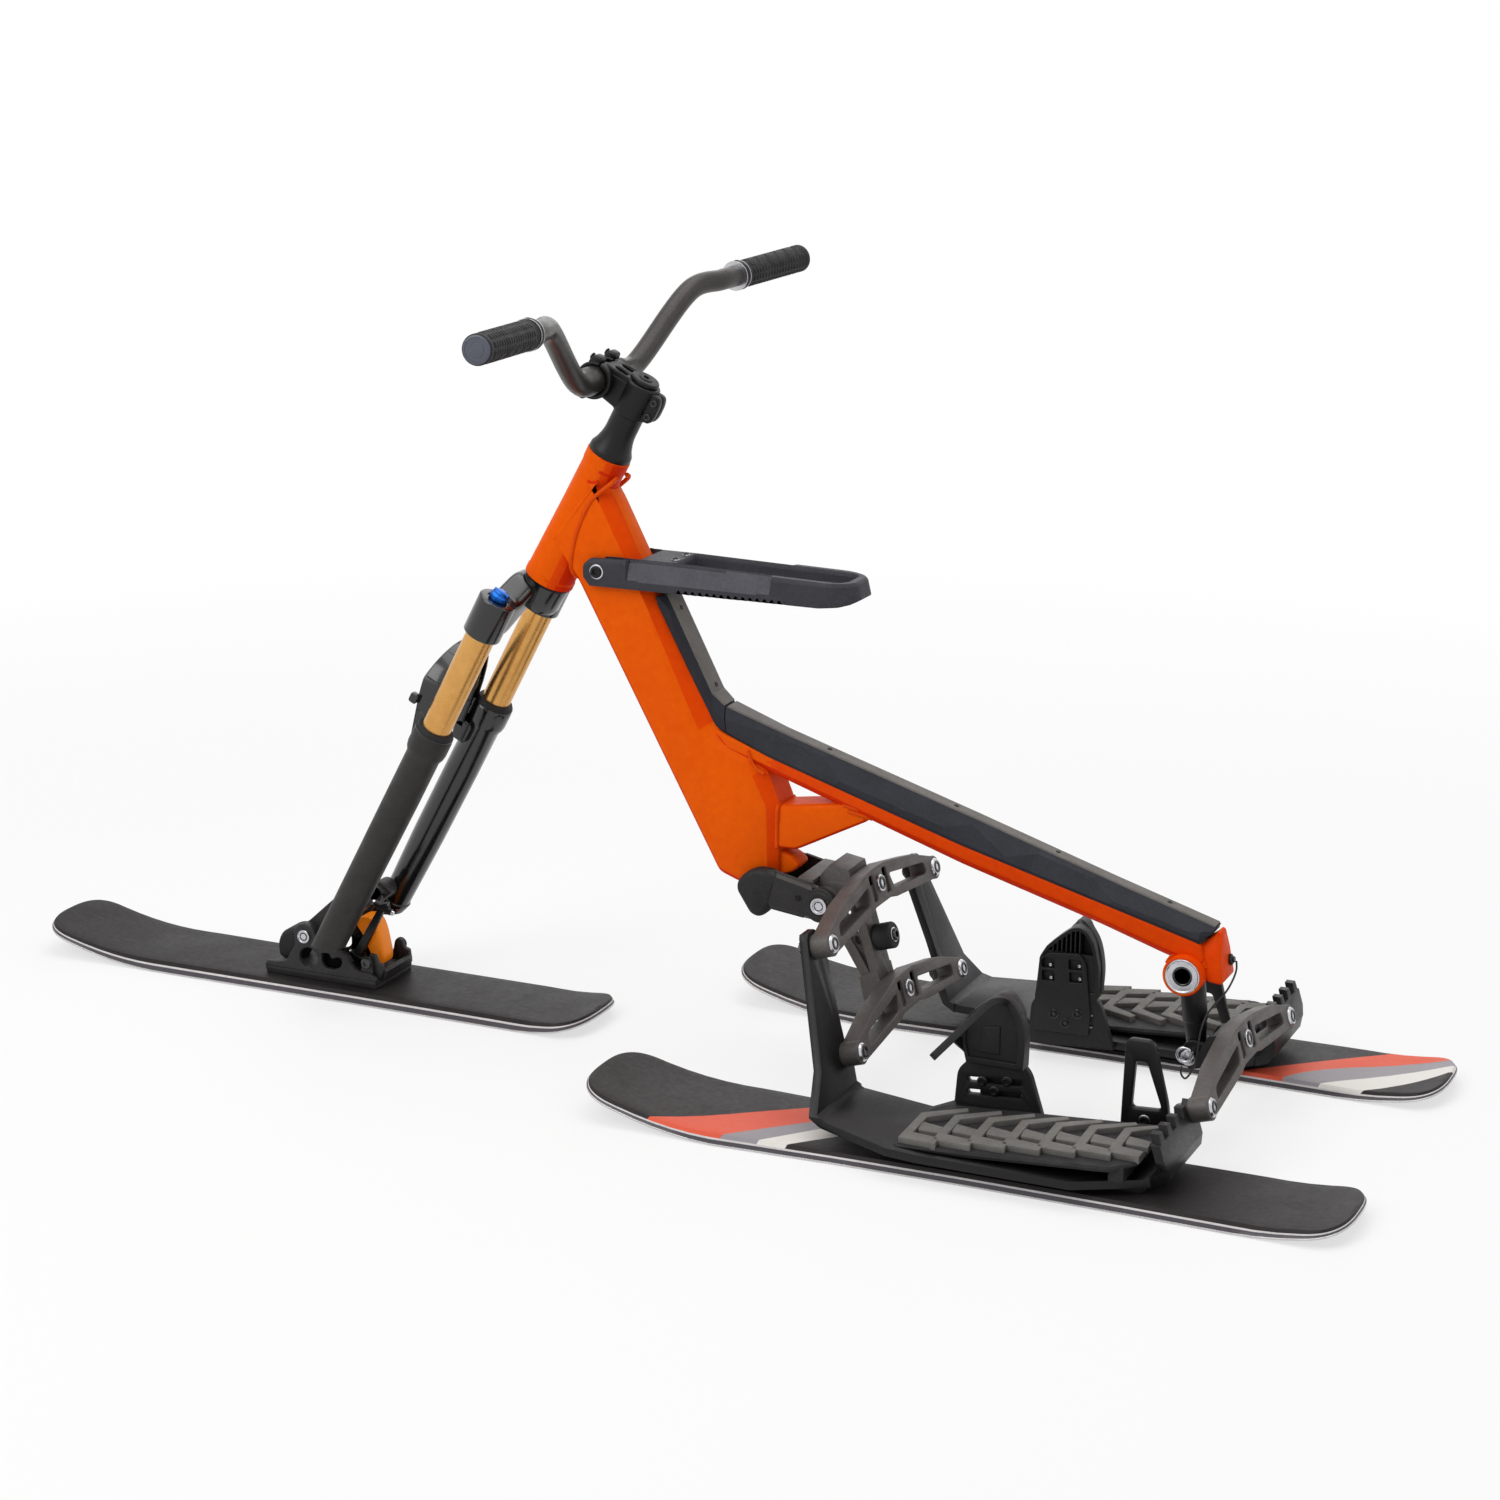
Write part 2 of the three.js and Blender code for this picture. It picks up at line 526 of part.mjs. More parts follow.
function frontSki() {
  const { tip, tail, halfWidth } = FRONT_SKI;
  const stations = [[-1050, halfWidth], [-900, halfWidth], [-650, halfWidth - 2], [-400, halfWidth - 1]];
  const plan = skiPlan(stations, 0, tip, tail, 40);
  return skiSolid({ ...FRONT_SKI, flatStart: -921, flatEnd: -441 }, plan);
}

// Rear linkage, in the leaning group

const pinRod = (y, z, [x0, x1], radius, sides) => rod([x0, y, z], [x1, y, z], radius, radius, sides);

function rocker({ back, pivotZ }) {
  const { reach, drop, depth, endRadius } = ARM;
  const end = arc([reach, -drop], endRadius, 80, -110, 8);
  const half = [[0, 19], [25, 18.5], [100, 5], ...end, [38, -26], [22, -22], [0, -22]];
  const outline = [...half, ...flipY(half.slice(1, -1)).reverse()];
  const window = [[30, 3.5], [124, -11.5], [126, -25], [36, -15.5]];
  const at = (points) => points.map(([y, z]) => [y, z + pivotZ]);
  const range = [back - depth, back];
  const past = [back - depth - 5, back + 5];
  const ends = [-1, 1].map((side) => pinRod(side * reach, pivotZ - drop, past, BOLT.radius + BORE_CLEARANCE));
  return cut(acrossX(at(outline), range), acrossX(at(window), past), acrossX(flipY(at(window)), past),
    ...ends, pinRod(0, pivotZ, past, 6.4));
}

// A bolt along the pin direction: head behind the rocker, nut ahead of what it fastens.
function pinBolt(y, z, headX, nutX, radius, headRadius) {
  return join(pinRod(y, z, [nutX - 2, headX + 1], radius, 16),
    pinRod(y, z, [headX + GAP, headX + BOLT.headDepth], headRadius),
    pinRod(y, z, [nutX - BOLT.nutDepth, nutX - GAP], BOLT.nut, 6));
}

function centrePin({ back, pivotZ }) {
  const x = back + GAP;
  const length = ARM.depth + 14;
  return join(pinRod(0, pivotZ, [back - length, x + 1], 6, 16), pinRod(0, pivotZ, [x, x + 3.5], 9.5));
}

const PIVOT_IN_LEAN = [
  YOKE_PIVOT.x * Math.cos(LEAN) + (YOKE_PIVOT.z - LEAN_ORIGIN_Z) * Math.sin(LEAN),
  -YOKE_PIVOT.x * Math.sin(LEAN) + (YOKE_PIVOT.z - LEAN_ORIGIN_Z) * Math.cos(LEAN),
];

function hanger() {
  const [px, pz] = PIVOT_IN_LEAN;
  const back = UPRIGHT_BACK - 0.2;
  const spine = box([back - 11, back], [-17, 17], [-121, 50]);
  const headSide = [[px - 4, 34], [px + 2, 50], [back - 20, 60], [back, 50], [back, 8], [px, 8]];
  const head = acrossY(headSide, [-24, 24]);
  const foot = acrossY([[back - 24, -72], [back, -68], [back, -121], [back - 14, -121], [back - 26, -98]],
    [-20, 20]);
  const bar = acrossY([[px - 10, 8], [px + 2, 8], [back - 12, -78], [back - 24, -78]], [-12, 12]);
  const boss = crossRod(px, pz, [-35.9, 35.9], 17);
  const pins = [ROCKERS.upper, ROCKERS.lower].map(({ pivotZ }) => pinRod(0, pivotZ, [-38, 0], 6.4));
  return cut(join(spine, head, foot, bar, boss), crossRod(px, pz, [-60, 60], 8.4), ...pins,
    pinRod(0, -35.5, [-60, 0], 5.4));
}

function stopBolt() {
  const back = UPRIGHT_BACK - 0.2;
  return join(pinRod(0, -35.5, [back + GAP, 2], 15), pinRod(0, -35.5, [back - 10, 5], 5, 16),
    pinRod(0, -35.5, [1, 5], 9));
}

// The strut's foot in the leaning frame.
const FOOT = [
  STRUT.foot[0] * Math.cos(LEAN) + (STRUT.foot[1] - LEAN_ORIGIN_Z) * Math.sin(LEAN),
  -STRUT.foot[0] * Math.sin(LEAN) + (STRUT.foot[1] - LEAN_ORIGIN_Z) * Math.cos(LEAN),
];

// Two cheeks hold the pull pin from below and behind, and leave it free to lift or swing ahead.
function rearHub() {
  const [px, pz] = FOOT;
  const back = ROCKERS.rear.back - ARM.depth - GAP;
  const room = STRUT.pinRadius + 0.8;
  const block = [[px + 12, pz - 7.6], [px + 28, pz + 16.5], [back, pz + 16.5], [back, pz - 16],
    [px + 9, pz - 16]];
  const cheek = [[px - 10, pz - room], [px, pz - room], [px + room * 0.85, pz - room * 0.53],
    [px + 24, pz + 16.5], [px + 30, pz + 16.5], [px + 30, pz - 16], [px - 6, pz - 16]];
  const inner = STRUT.eyeHalf + BORE_CLEARANCE;
  const cheeks = [-1, 1].map((side) => acrossY(cheek, ordered(side * inner, side * (inner + 8))));
  const pin = pinRod(0, ROCKERS.rear.pivotZ, [back - 25, back + 5], 6.4);
  return cut(join(acrossY(block, [-inner - 8, inner + 8]), ...cheeks), pin);
}

// Rear skis and platforms

function rearSki(side) {
  const { tip, tail, centreY, thickness, tipRise, tailRise } = REAR_SKI;
  const stations = [[-200, 70], [-90, 75], [60, 68], [200, 65], [360, 65], [500, 67], [560, 66]];
  const plan = skiPlan(stations, side * centreY, tip, tail, 42);
  const ski = skiSolid({ tip, tail, flatStart: -80, flatEnd: 480, tipRise, tailRise, thickness }, plan);
  const riser = box([150, 380], ordered(side * 165, side * 240), [thickness - 1, DECK.bottom - GAP]);
  return ski.add(riser);
}

// One bent plate: a leaning upright, the deck and a leaning heel wall.
const PLATFORM_PROFILE = [leanPoint(UPRIGHT_BACK, 18), leanPoint(UPRIGHT_BACK, -156), [36, 37.5],
  [150, DECK.top], [384, DECK.top], [395, 36], leanPoint(HEEL_BACK - PLATE, -264),
  leanPoint(HEEL_BACK - PLATE, -214), leanPoint(HEEL_BACK, -214), leanPoint(HEEL_BACK, -263), [410, 36],
  [403, 27], [390, DECK.bottom], [150, DECK.bottom], [30, 29], leanPoint(UPRIGHT_BACK - PLATE, -158),
  leanPoint(UPRIGHT_BACK - PLATE, 18)];
const UPRIGHT_OUTLINE = [[142, 25], [134, 61], [141, 88], [139, 110], [129, 172], [133, 195],
  ...arc([150, 194], 16.5, 170, 10, 8), [212, 76], [250, 40], [250, 25]];
const DECK_PLAN = [[30.5, 142], [30.5, 250], [115, 280], [315, 280], [389, 240], [389, 140], [370, 122],
  [132, 122], [118, 150]];
const HEEL_TEETH = [249, 223, 197, 171];

function heelOutline() {
  const teeth = HEEL_TEETH.flatMap((y) => [[y + 6, 77], [y + 5, 86.5], [y - 5, 86.5], [y - 6, 77]]);
  return [[138, 15], [236, 15], [250, 45], [260, 58], [260, 76], ...teeth, [146, 86], [138, 78]];
}

function platform(side) {
  const profile = acrossY(PLATFORM_PROFILE, ordered(side * 110, side * 290));
  const outline = (points) => points.map(([y, z]) => [side * y, z]);
  const trim = join(
    acrossX(outline(UPRIGHT_OUTLINE), [-60, 31]),
    acrossZ(mirrored(DECK_PLAN, side), [10, 60]),
    acrossX(outline(heelOutline()), [388.5, 430]),
  );
  const lean = new THREE.Matrix4().makeRotationY(-LEAN).setPosition(0, 0, LEAN_ORIGIN_Z);
  const inWorld = (x, y, z) => new THREE.Vector3(x, y, z).applyMatrix4(lean).toArray();
  const hole = (z, x0, x1) => rod(inWorld(x0, side * ARM.reach, z), inWorld(x1, side * ARM.reach, z),
    BOLT.radius + BORE_CLEARANCE);
  return cut(profile.intersect(trim), hole(0, -50, 10), hole(-122.2, -50, 10), hole(-234, 320, 370));
}

function tread(side) {
  const y = (a, b) => ordered(side * a, side * b);
  const wedge = [[120, DECK.top + 3], [120, 41], [378, 58], [378, 47], [200, DECK.top + 4]];
  const plan = [[120, 158], [136, 141], [378, 141], [378, 250], [352, 272], [120, 272]];
  const pad = acrossY(wedge, y(141, 272));
  const clip = acrossZ(mirrored(plan, side), [30, 70]);
  const foot = (x0, x1, height) => box([x0, x1], y(150, 262), [DECK.top + GAP, DECK.top + height]);
  return join(pad, foot(152, 200, 8), foot(350, 366, 18)).intersect(clip);
}

function bootSupport(side) {
  const bracket = acrossY([[130, 18], [232, 24], [216, 76], [210, 84], [150, 86], [134, 66]],
    ordered(side * 112, side * 121.6));
  const tower = acrossY([[152, 82], [216, 82], [222, 96], [206, 150], [192, 167], [180, 164], [160, 128]],
    ordered(side * 112, side * 136));
  const slots = [44, 58].map((z) => box([138, 156], ordered(side * 100, side * 125), [z - 3, z + 3]));
  const hook = bent([[188, side * 128, 156], [178, side * 155, 154], [162, side * 190, 141],
    [146, side * 214, 116]], 7, 10, 12);
  return cut(join(bracket, tower, hook), ...slots);
}

function strapLoop(side) {
  const outer = [[316, 26], [370, 30], [368, 62], [351, 128], [345, 132], [324, 132], [319, 127]];
  const inner = [[328, 56], [361, 58], [343, 108], [331, 108]];
  const range = ordered(side * 112, side * 121.6);
  return cut(acrossY(outer, range), acrossY(inner, [-150, 150]));
}

function strut() {
  const { foot: [fx, fz], radius, eyeHalf } = STRUT;
  const eyes = join(crossRod(SHELL.x, SHELL.z, [-eyeHalf, eyeHalf], 15),
    crossRod(fx, fz, [-eyeHalf, eyeHalf], 13));
  const body = rod([SHELL.x, 0, SHELL.z], [fx, 0, fz], radius);
  return cut(join(eyes, body), crossRod(SHELL.x, SHELL.z, [-50, 50], 8.4),
    crossRod(fx, fz, [-50, 50], STRUT.pinRadius + GAP));
}

function releasePin() {
  const [x, z] = STRUT.foot;
  const torus = new THREE.TorusGeometry(8, 1.6, 8, 20).rotateX(Math.PI / 2);
  const ring = toSolid(torus.translate(x - 3, -36, z + 4));
  return join(crossRod(x, z, [-35, 26], STRUT.pinRadius, 16), crossRod(x, z, [-35, -31], 8), ring);
}

// Assembly

function leaning(...meshes) {
  const group = new THREE.Group();
  group.rotation.y = -LEAN;
  group.position.z = LEAN_ORIGIN_Z;
  return group.add(...meshes);
}

function steeringGroup(...meshes) {
  const group = new THREE.Group();
  group.rotation.y = RAKE;
  group.position.set(...HEAD_BOTTOM);
  return group.add(...meshes);
}

function rearSide(name, side) {
  const { upper, lower, rear } = ROCKERS;
  const y = side * ARM.reach;
  const bolt = (label, { back, pivotZ }, nutX) =>
    piece(`${name}_${label}_bolt`, pinBolt(y, pivotZ - ARM.drop, back, nutX, BOLT.radius, BOLT.head), STEEL);
  return [
    piece(`${name}_rear_ski`, rearSki(side), SKI_GREY),
    piece(`${name}_platform`, platform(side), BLACK),
    piece(`${name}_tread`, tread(side), RUBBER),
    piece(`${name}_boot_support`, bootSupport(side), BLACK),
    piece(`${name}_strap_loop`, strapLoop(side), BLACK),
    leaning(
      bolt('upper', upper, UPRIGHT_BACK - PLATE),
      bolt('lower', lower, UPRIGHT_BACK - PLATE),
      bolt('rear', rear, HEEL_BACK - PLATE),
    ),
  ];
}

const skiBike = new THREE.Group();
skiBike.name = 'ski_bike';
skiBike.position.x = MID_LENGTH_SHIFT;

skiBike.add(
  piece('main_frame', mainFrame(), ORANGE),
  piece('downtube_cover', downTubeCover(), COVER_GREY),
  piece('beam_cover', beamCover(), COVER_GREY),
  piece('carry_handle', carryHandle(), BLACK),
  piece('handle_bolt', handleBolt(), STEEL),
  piece('yoke', yoke(), BLACK),
  piece('yoke_bumper', yokeBumper(), RUBBER),
  piece('yoke_axle', yokeAxle(), STEEL),
  piece('strut_axle', strutAxle(), STEEL),
  piece('lanyard_bolt', lanyardBolt(), STEEL),
  piece('lanyard', bent(LANYARD, 1.1, 40, 8), BLACK),
  piece('handlebar', handlebar(), BLACK),
  steeringGroup(
    piece('headset_lower', headsetLower(), BLACK),
    piece('headset_upper', headsetUpper(), BLACK),
    piece('fork_crown', crown(), BLACK),
    piece('fork_knob', forkKnob(), BLUE),
    piece('stanchion_left', legRod(-1, STANCHION.bottom, STANCHION.top, STANCHION.radius), GOLD),
    piece('stanchion_right', legRod(1, STANCHION.bottom, STANCHION.top, STANCHION.radius), GOLD),
    piece('stem', stem(), BLACK),
    piece('stem_faceplate', stemFaceplate(), BLACK),
    piece('stem_top_cap', topCap(), BLACK),
    piece('fork_lowers', forkLowers(), BLACK),
  ),
  piece('fork_adapter', forkAdapter(), BLACK),
  piece('elastomer_link', elastomerLink(), BLACK),
  piece('front_elastomer', elastomer(), SPRING_ORANGE),
  piece('front_ski', frontSki(), SKI_GREY),
  piece('front_ski_mount', frontMount(), BLACK),
  piece('front_pivot_bolt', frontPivotBolt(), STEEL),
  piece('front_bumper', frontBumper(), RUBBER),
  leaning(
    piece('hanger', hanger(), BLACK),
    piece('stop_bolt', stopBolt(), RUBBER),
    piece('rear_hub', rearHub(), BLACK),
  ),
  piece('strut', strut(), BLACK),
  piece('release_pin', releasePin(), STEEL),
);

for (const [name, side] of Object.entries(SIDES)) {
  skiBike.add(
    piece(`grip_${name}`, grip(side), RUBBER),
    piece(`grip_collar_${name}`, gripCollar(side), BLACK),
    ...rearSide(name, side),
  );
}

for (const [name, sizes] of Object.entries(ROCKERS)) {
  skiBike.add(leaning(
    piece(`${name}_rocker`, rocker(sizes), BLACK),
    piece(`${name}_rocker_pin`, centrePin(sizes), STEEL),
  ));
}

export default skiBike;
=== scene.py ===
"""Ski bike: the finished look of every piece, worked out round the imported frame."""
import math

import bmesh
import bpy
import numpy as np
from mathutils import Matrix, Vector
from mathutils.geometry import tessellate_polygon


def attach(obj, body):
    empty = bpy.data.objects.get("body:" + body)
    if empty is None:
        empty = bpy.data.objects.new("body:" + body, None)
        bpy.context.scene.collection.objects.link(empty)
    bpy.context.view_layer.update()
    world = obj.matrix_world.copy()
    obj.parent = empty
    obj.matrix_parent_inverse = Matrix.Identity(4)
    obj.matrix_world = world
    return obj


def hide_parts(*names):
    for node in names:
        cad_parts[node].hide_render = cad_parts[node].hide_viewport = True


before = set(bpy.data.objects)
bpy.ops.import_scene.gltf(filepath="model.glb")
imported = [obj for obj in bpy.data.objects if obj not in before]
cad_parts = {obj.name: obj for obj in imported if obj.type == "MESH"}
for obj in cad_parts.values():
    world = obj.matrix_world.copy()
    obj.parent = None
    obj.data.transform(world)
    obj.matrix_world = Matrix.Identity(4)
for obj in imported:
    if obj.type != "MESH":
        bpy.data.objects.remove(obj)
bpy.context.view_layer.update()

# Driving dimensions, in millimetres. x = 0 is at the upper rocker, and the frame's origin lies ahead of it.
MID_LENGTH_SHIFT = 250.0
MM = 0.001
MERGE_DISTANCE = 2e-6
BROKEN_EDGE = 0.0008
FLAT_ENOUGH = math.radians(1.0)
SHARP_ENOUGH = math.radians(28.0)
RAKE = math.radians(27.5)
HEAD_BOTTOM = np.array([-414.3, 0.0, 526.0])
LEG_X = -18.0
LEG_Y = 71.0
LEG_CUT = 73.5
LEAN = math.radians(17.0)
LEAN_ORIGIN = np.array([0.0, 0.0, 197.6])
SHELL = (352.0, 177.0)
YOKE_PIVOT = (-61.6, 199.5)
PITCH_PIVOT = (-725.0, 69.0)
HANDLE_BOLT = (-336.0, 548.0)
ARM_REACH = 149.7
ARM_DROP = 24.5
ROCKERS = {"upper": (0.0, 24.5), "lower": (0.0, -97.7), "rear": (370.4, -209.5)}
SIDES = {"left": -1.0, "right": 1.0}

# Camera: where the photograph was taken from.
CAMERA_PLACE = (1.5482, -3.2584, 1.3505)
CAMERA_AZIMUTH = 24.1845
CAMERA_ELEVATION = 15.58
CAMERA_ROLL = 0.299
CAMERA_LENS = 80.1
SENSOR_WIDTH = 36.0

# Studio: the world's light, and how far out the floor fades from its least white to plain white, in metres.
WHITE = (1.0, 1.0, 1.0, 1.0)
WHITE_STRENGTH = 1.0
WORLD_LIGHT = 0.36
FADE = (1.1, 2.6)
FLOOR_WHITE = 0.68
FLOOR_HALF = 12.0
FLOOR_HEIGHT = -0.0005


# Frames of reference

def leaning(points):
    """Turns points of the leaning linkage frame into drawn ones: a turn about Y by the lean, then a lift."""
    p = np.asarray(points, float)
    x = p[..., 0] * math.cos(LEAN) - p[..., 2] * math.sin(LEAN)
    z = p[..., 0] * math.sin(LEAN) + p[..., 2] * math.cos(LEAN)
    return np.stack([x, p[..., 1], z], -1) + LEAN_ORIGIN


def steering(points):
    """Turns points of the raked steering frame into drawn ones: a turn about Y by the rake, from the head."""
    p = np.asarray(points, float)
    x = p[..., 0] * math.cos(RAKE) + p[..., 2] * math.sin(RAKE)
    z = -p[..., 0] * math.sin(RAKE) + p[..., 2] * math.cos(RAKE)
    return np.stack([x, p[..., 1], z], -1) + HEAD_BOTTOM


STEER_AXIS = steering((0.0, 0.0, 1.0)) - HEAD_BOTTOM
LEAN_AXIS = leaning((1.0, 0.0, 0.0)) - LEAN_ORIGIN
ACROSS = (0.0, 1.0, 0.0)


# Meshes from arrays

def make(name, shape, material, body, smooth=35.0, others=(), node=None):
    """Puts (vertices in millimetres, faces) into one piece that rides on a body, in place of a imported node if
    named.

    A third item of the shape gives each face's material, 0 for the first and then the others."""
    verts, faces, *zones = shape
    mesh = bpy.data.meshes.new(name)
    placed = (np.asarray(verts, float) + (MID_LENGTH_SHIFT, 0.0, 0.0)) * MM
    mesh.from_pydata(placed.tolist(), [], faces)
    for one in (material, *others):
        mesh.materials.append(one)
    if zones:
        mesh.polygons.foreach_set("material_index", np.asarray(zones[0], np.int32))
    work = bmesh.new()
    work.from_mesh(mesh)
    bmesh.ops.remove_doubles(work, verts=work.verts, dist=MERGE_DISTANCE)
    bmesh.ops.recalc_face_normals(work, faces=work.faces)
    work.to_mesh(mesh)
    work.free()
    mesh.shade_smooth()
    mesh.set_sharp_from_angle(angle=math.radians(smooth))
    piece = bpy.data.objects.new(name, mesh)
    bpy.context.scene.collection.objects.link(piece)
    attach(piece, body)
    if node:
        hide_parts(node)
    return piece


def grid_faces(rows, columns, closed=True, start=0):
    """Quads between neighbouring rows of a grid of points; closed joins the last column to the first."""
    i, j = np.meshgrid(np.arange(rows - 1), np.arange(columns if closed else columns - 1), indexing="ij")
    k = (j + 1) % columns
    quads = np.stack([i * columns + j, i * columns + k, (i + 1) * columns + k, (i + 1) * columns + j], -1)
    return (quads.reshape(-1, 4) + start).tolist()


def skin(rings):
    """A closed surface through rings of points, with a flat cap at each end."""
    rings = np.asarray(rings, float)
    rows, columns = rings.shape[:2]
    faces = grid_faces(rows, columns)
    faces.append(list(range(columns))[::-1])
    faces.append(list(range((rows - 1) * columns, rows * columns)))
    return rings.reshape(-1, 3), faces


def hoop(rings):
    """A closed surface through rings of points whose last ring meets the first."""
    rings = np.asarray(rings, float)
    rows, columns = rings.shape[:2]
    wrapped = np.concatenate([rings, rings[:1]])
    verts = wrapped.reshape(-1, 3)
    return verts, grid_faces(rows + 1, columns)


def merged(*parts):
    """Several (vertices, faces) pairs as one pair."""
    verts, faces, count = [], [], 0
    for v, f in parts:
        verts.append(v)
        faces += [[i + count for i in face] for face in f]
        count += len(v)
    return np.concatenate(verts), faces


def in_zones(*groups):
    """Several (vertices, faces) pairs as one, each face's material the number of its group."""
    return (*merged(*groups), [number for number, (_, faces) in enumerate(groups) for _ in faces])


def round_corners(points, radius, steps=4):
    """An outline whose corners become arcs: each is cut back by its radius and bridged by a quadratic
    curve."""
    points = np.asarray(points, float)
    radii = np.broadcast_to(np.asarray(radius, float), (len(points),))
    before = np.roll(points, 1, axis=0) - points
    after = np.roll(points, -1, axis=0) - points
    back = np.linalg.norm(before, axis=1, keepdims=True)
    ahead = np.linalg.norm(after, axis=1, keepdims=True)
    reach = np.minimum(radii[:, None], 0.49 * np.minimum(back, ahead))
    start = points + before / back * reach
    end = points + after / ahead * reach
    t = np.linspace(0.0, 1.0, steps + 1)[None, :, None]
    curve = (1 - t) ** 2 * start[:, None] + 2 * t * (1 - t) * points[:, None] + t ** 2 * end[:, None]
    return curve.reshape(-1, 2)


def arc(centre, radius, start, stop, steps):
    """Points of an arc, in degrees."""
    angle = np.radians(np.linspace(start, stop, steps))
    return np.stack([centre[0] + radius * np.cos(angle), centre[1] + radius * np.sin(angle)], -1)


def area(points):
    """Half the sum of the cross products of neighbouring points: above 0 where the loop is anticlockwise."""
    x, y = np.asarray(points).T
    return 0.5 * np.sum(x * np.roll(y, -1) - np.roll(x, -1) * y)


def anticlockwise(loop):
    """A loop in anticlockwise order, reversed where its area is below 0."""
    return loop if area(loop) > 0 else loop[::-1]


def inset(points, amount):
    """An anticlockwise outline moved inwards by an amount, along the mean of its edges' normals."""
    edge = np.roll(points, -1, axis=0) - points
    length = np.maximum(np.linalg.norm(edge, axis=1, keepdims=True), 1e-9)
    normal = np.stack([-edge[:, 1], edge[:, 0]], -1) / length
    mean = normal + np.roll(normal, 1, axis=0)
    mean /= np.maximum(np.linalg.norm(mean, axis=1, keepdims=True), 1e-9)
    lean = np.maximum(np.sum(mean * normal, axis=1, keepdims=True), 0.5)
    return points + mean * np.reshape(amount, (-1, 1)) / lean


def plate_mesh(outline, span, edge, holes=(), plane="xz", steps=3):
    """A flat plate: its outline and holes carried across the span, with rims rounded by a quarter circle.

    edge is the rims' radius, one for both faces or a pair for the low face and the high one."""
    low, high = min(span), max(span)
    first, last = edge if isinstance(edge, tuple) else (edge, edge)
    turn = np.radians(np.linspace(0.0, 90.0, steps + 1))
    insets = np.concatenate([first * (1 - np.sin(turn)), last * (1 - np.sin(turn[::-1]))])
    heights = np.concatenate([low + first * (1 - np.cos(turn)), high - last * (1 - np.cos(turn[::-1]))])
    return layered_mesh(outline, heights, insets, holes, plane)


def layered_mesh(outline, heights, insets, holes=(), plane="xz"):
    """An outline and its holes stacked at the given heights, each time moved inwards by that height's inset.

    The outline is anticlockwise where an inset gives one amount for each of its points."""
    loops = [anticlockwise(np.asarray(loop, float)) for loop in (outline, *holes)]
    verts, faces, ends, count = [], [], ([], []), 0
    for number, loop in enumerate(loops):
        sign = 1.0 if number == 0 else -1.0
        rings = [np.column_stack([inset(loop, sign * (c if number == 0 else np.min(c))),
                                  np.full(len(loop), h)]) for c, h in zip(insets, heights)]
        verts.append(np.concatenate(rings))
        faces += grid_faces(len(rings), len(loop), start=count)
        ends[0].append((rings[0], count))
        ends[1].append((rings[-1], count + (len(rings) - 1) * len(loop)))
        count += len(rings) * len(loop)
    for end in ends:
        index = np.concatenate([np.arange(len(ring)) + first for ring, first in end])
        fill = tessellate_polygon([[Vector((a, b, 0.0)) for a, b in ring[:, :2]] for ring, _ in end])
        faces += [[int(index[k]) for k in triangle] for triangle in fill]
    flat = np.concatenate(verts)
    order = {"xz": (0, 2, 1), "xy": (0, 1, 2), "yz": (2, 0, 1)}[plane]
    return flat[:, order], faces


def span_on(side, near, far):
    """A span across the bike on one side, from two distances off the middle."""
    return tuple(sorted((side * near, side * far)))


def side_plate(outline, side, reach, edge, holes=(), steps=3):
    """A plate on one side of the bike. A pair of rim sizes gives the face toward the middle first."""
    if isinstance(edge, tuple) and side < 0:
        edge = edge[::-1]
    return plate_mesh(outline, span_on(side, *reach), edge, holes, steps=steps)


def frames_along(path, up):
    """Two unit vectors square to a path at each of its points, the first as near as it gets to up."""
    path = np.asarray(path, float)
    along = np.gradient(path, axis=0)
    along /= np.linalg.norm(along, axis=1, keepdims=True)
    side = np.asarray(up, float) - along * (along @ np.asarray(up, float))[:, None]
    side /= np.linalg.norm(side, axis=1, keepdims=True)
    return side, np.cross(along, side)


def smooth_path(points, count):
    """Points of a smooth curve through given ones: a cubic with slopes from each point's neighbours."""
    points = np.asarray(points, float)
    step = np.linalg.norm(np.diff(points, axis=0), axis=1)
    at = np.concatenate([[0.0], np.cumsum(np.sqrt(step))])
    slope = np.gradient(points, at, axis=0)
    t = np.linspace(0.0, at[-1], count)
    k = np.clip(np.searchsorted(at, t, side="right") - 1, 0, len(points) - 2)
    h = (at[k + 1] - at[k])[:, None]
    s = ((t - at[k]) / h[:, 0])[:, None]
    return ((2 * s**3 - 3 * s**2 + 1) * points[k] + (s**3 - 2 * s**2 + s) * h * slope[k]
            + (3 * s**2 - 2 * s**3) * points[k + 1] + (s**3 - s**2) * h * slope[k + 1])


def tube_mesh(path, radius, sides, up):
    """A round section, its radius one number or one for each point, carried along a path."""
    side, other = frames_along(path, up)
    radii = np.broadcast_to(np.asarray(radius, float), (len(path),))[:, None, None]
    angle = np.linspace(0.0, 2 * np.pi, sides, endpoint=False)[None, :, None]
    ring = side[:, None] * np.cos(angle) + other[:, None] * np.sin(angle)
    return skin(np.asarray(path, float)[:, None] + radii * ring)


def band_mesh(path, width, thickness, up, corner):
    """A flat band: a rounded rectangle, its width along up, carried along a path."""
    side, other = frames_along(path, up)
    w, t = width / 2, thickness / 2
    section = round_corners([(-w, -t), (w, -t), (w, t), (-w, t)], corner, 3)
    ring = side[:, None] * section[None, :, :1] + other[:, None] * section[None, :, 1:]
    return skin(np.asarray(path, float)[:, None] + ring)


def basis_for(axis):
    """Three unit vectors, the last along the axis."""
    z = np.asarray(axis, float) / np.linalg.norm(axis)
    x = np.cross((0.0, 1.0, 0.0) if abs(z[1]) < 0.9 else (1.0, 0.0, 0.0), z)
    x /= np.linalg.norm(x)
    return x, np.cross(z, x), z


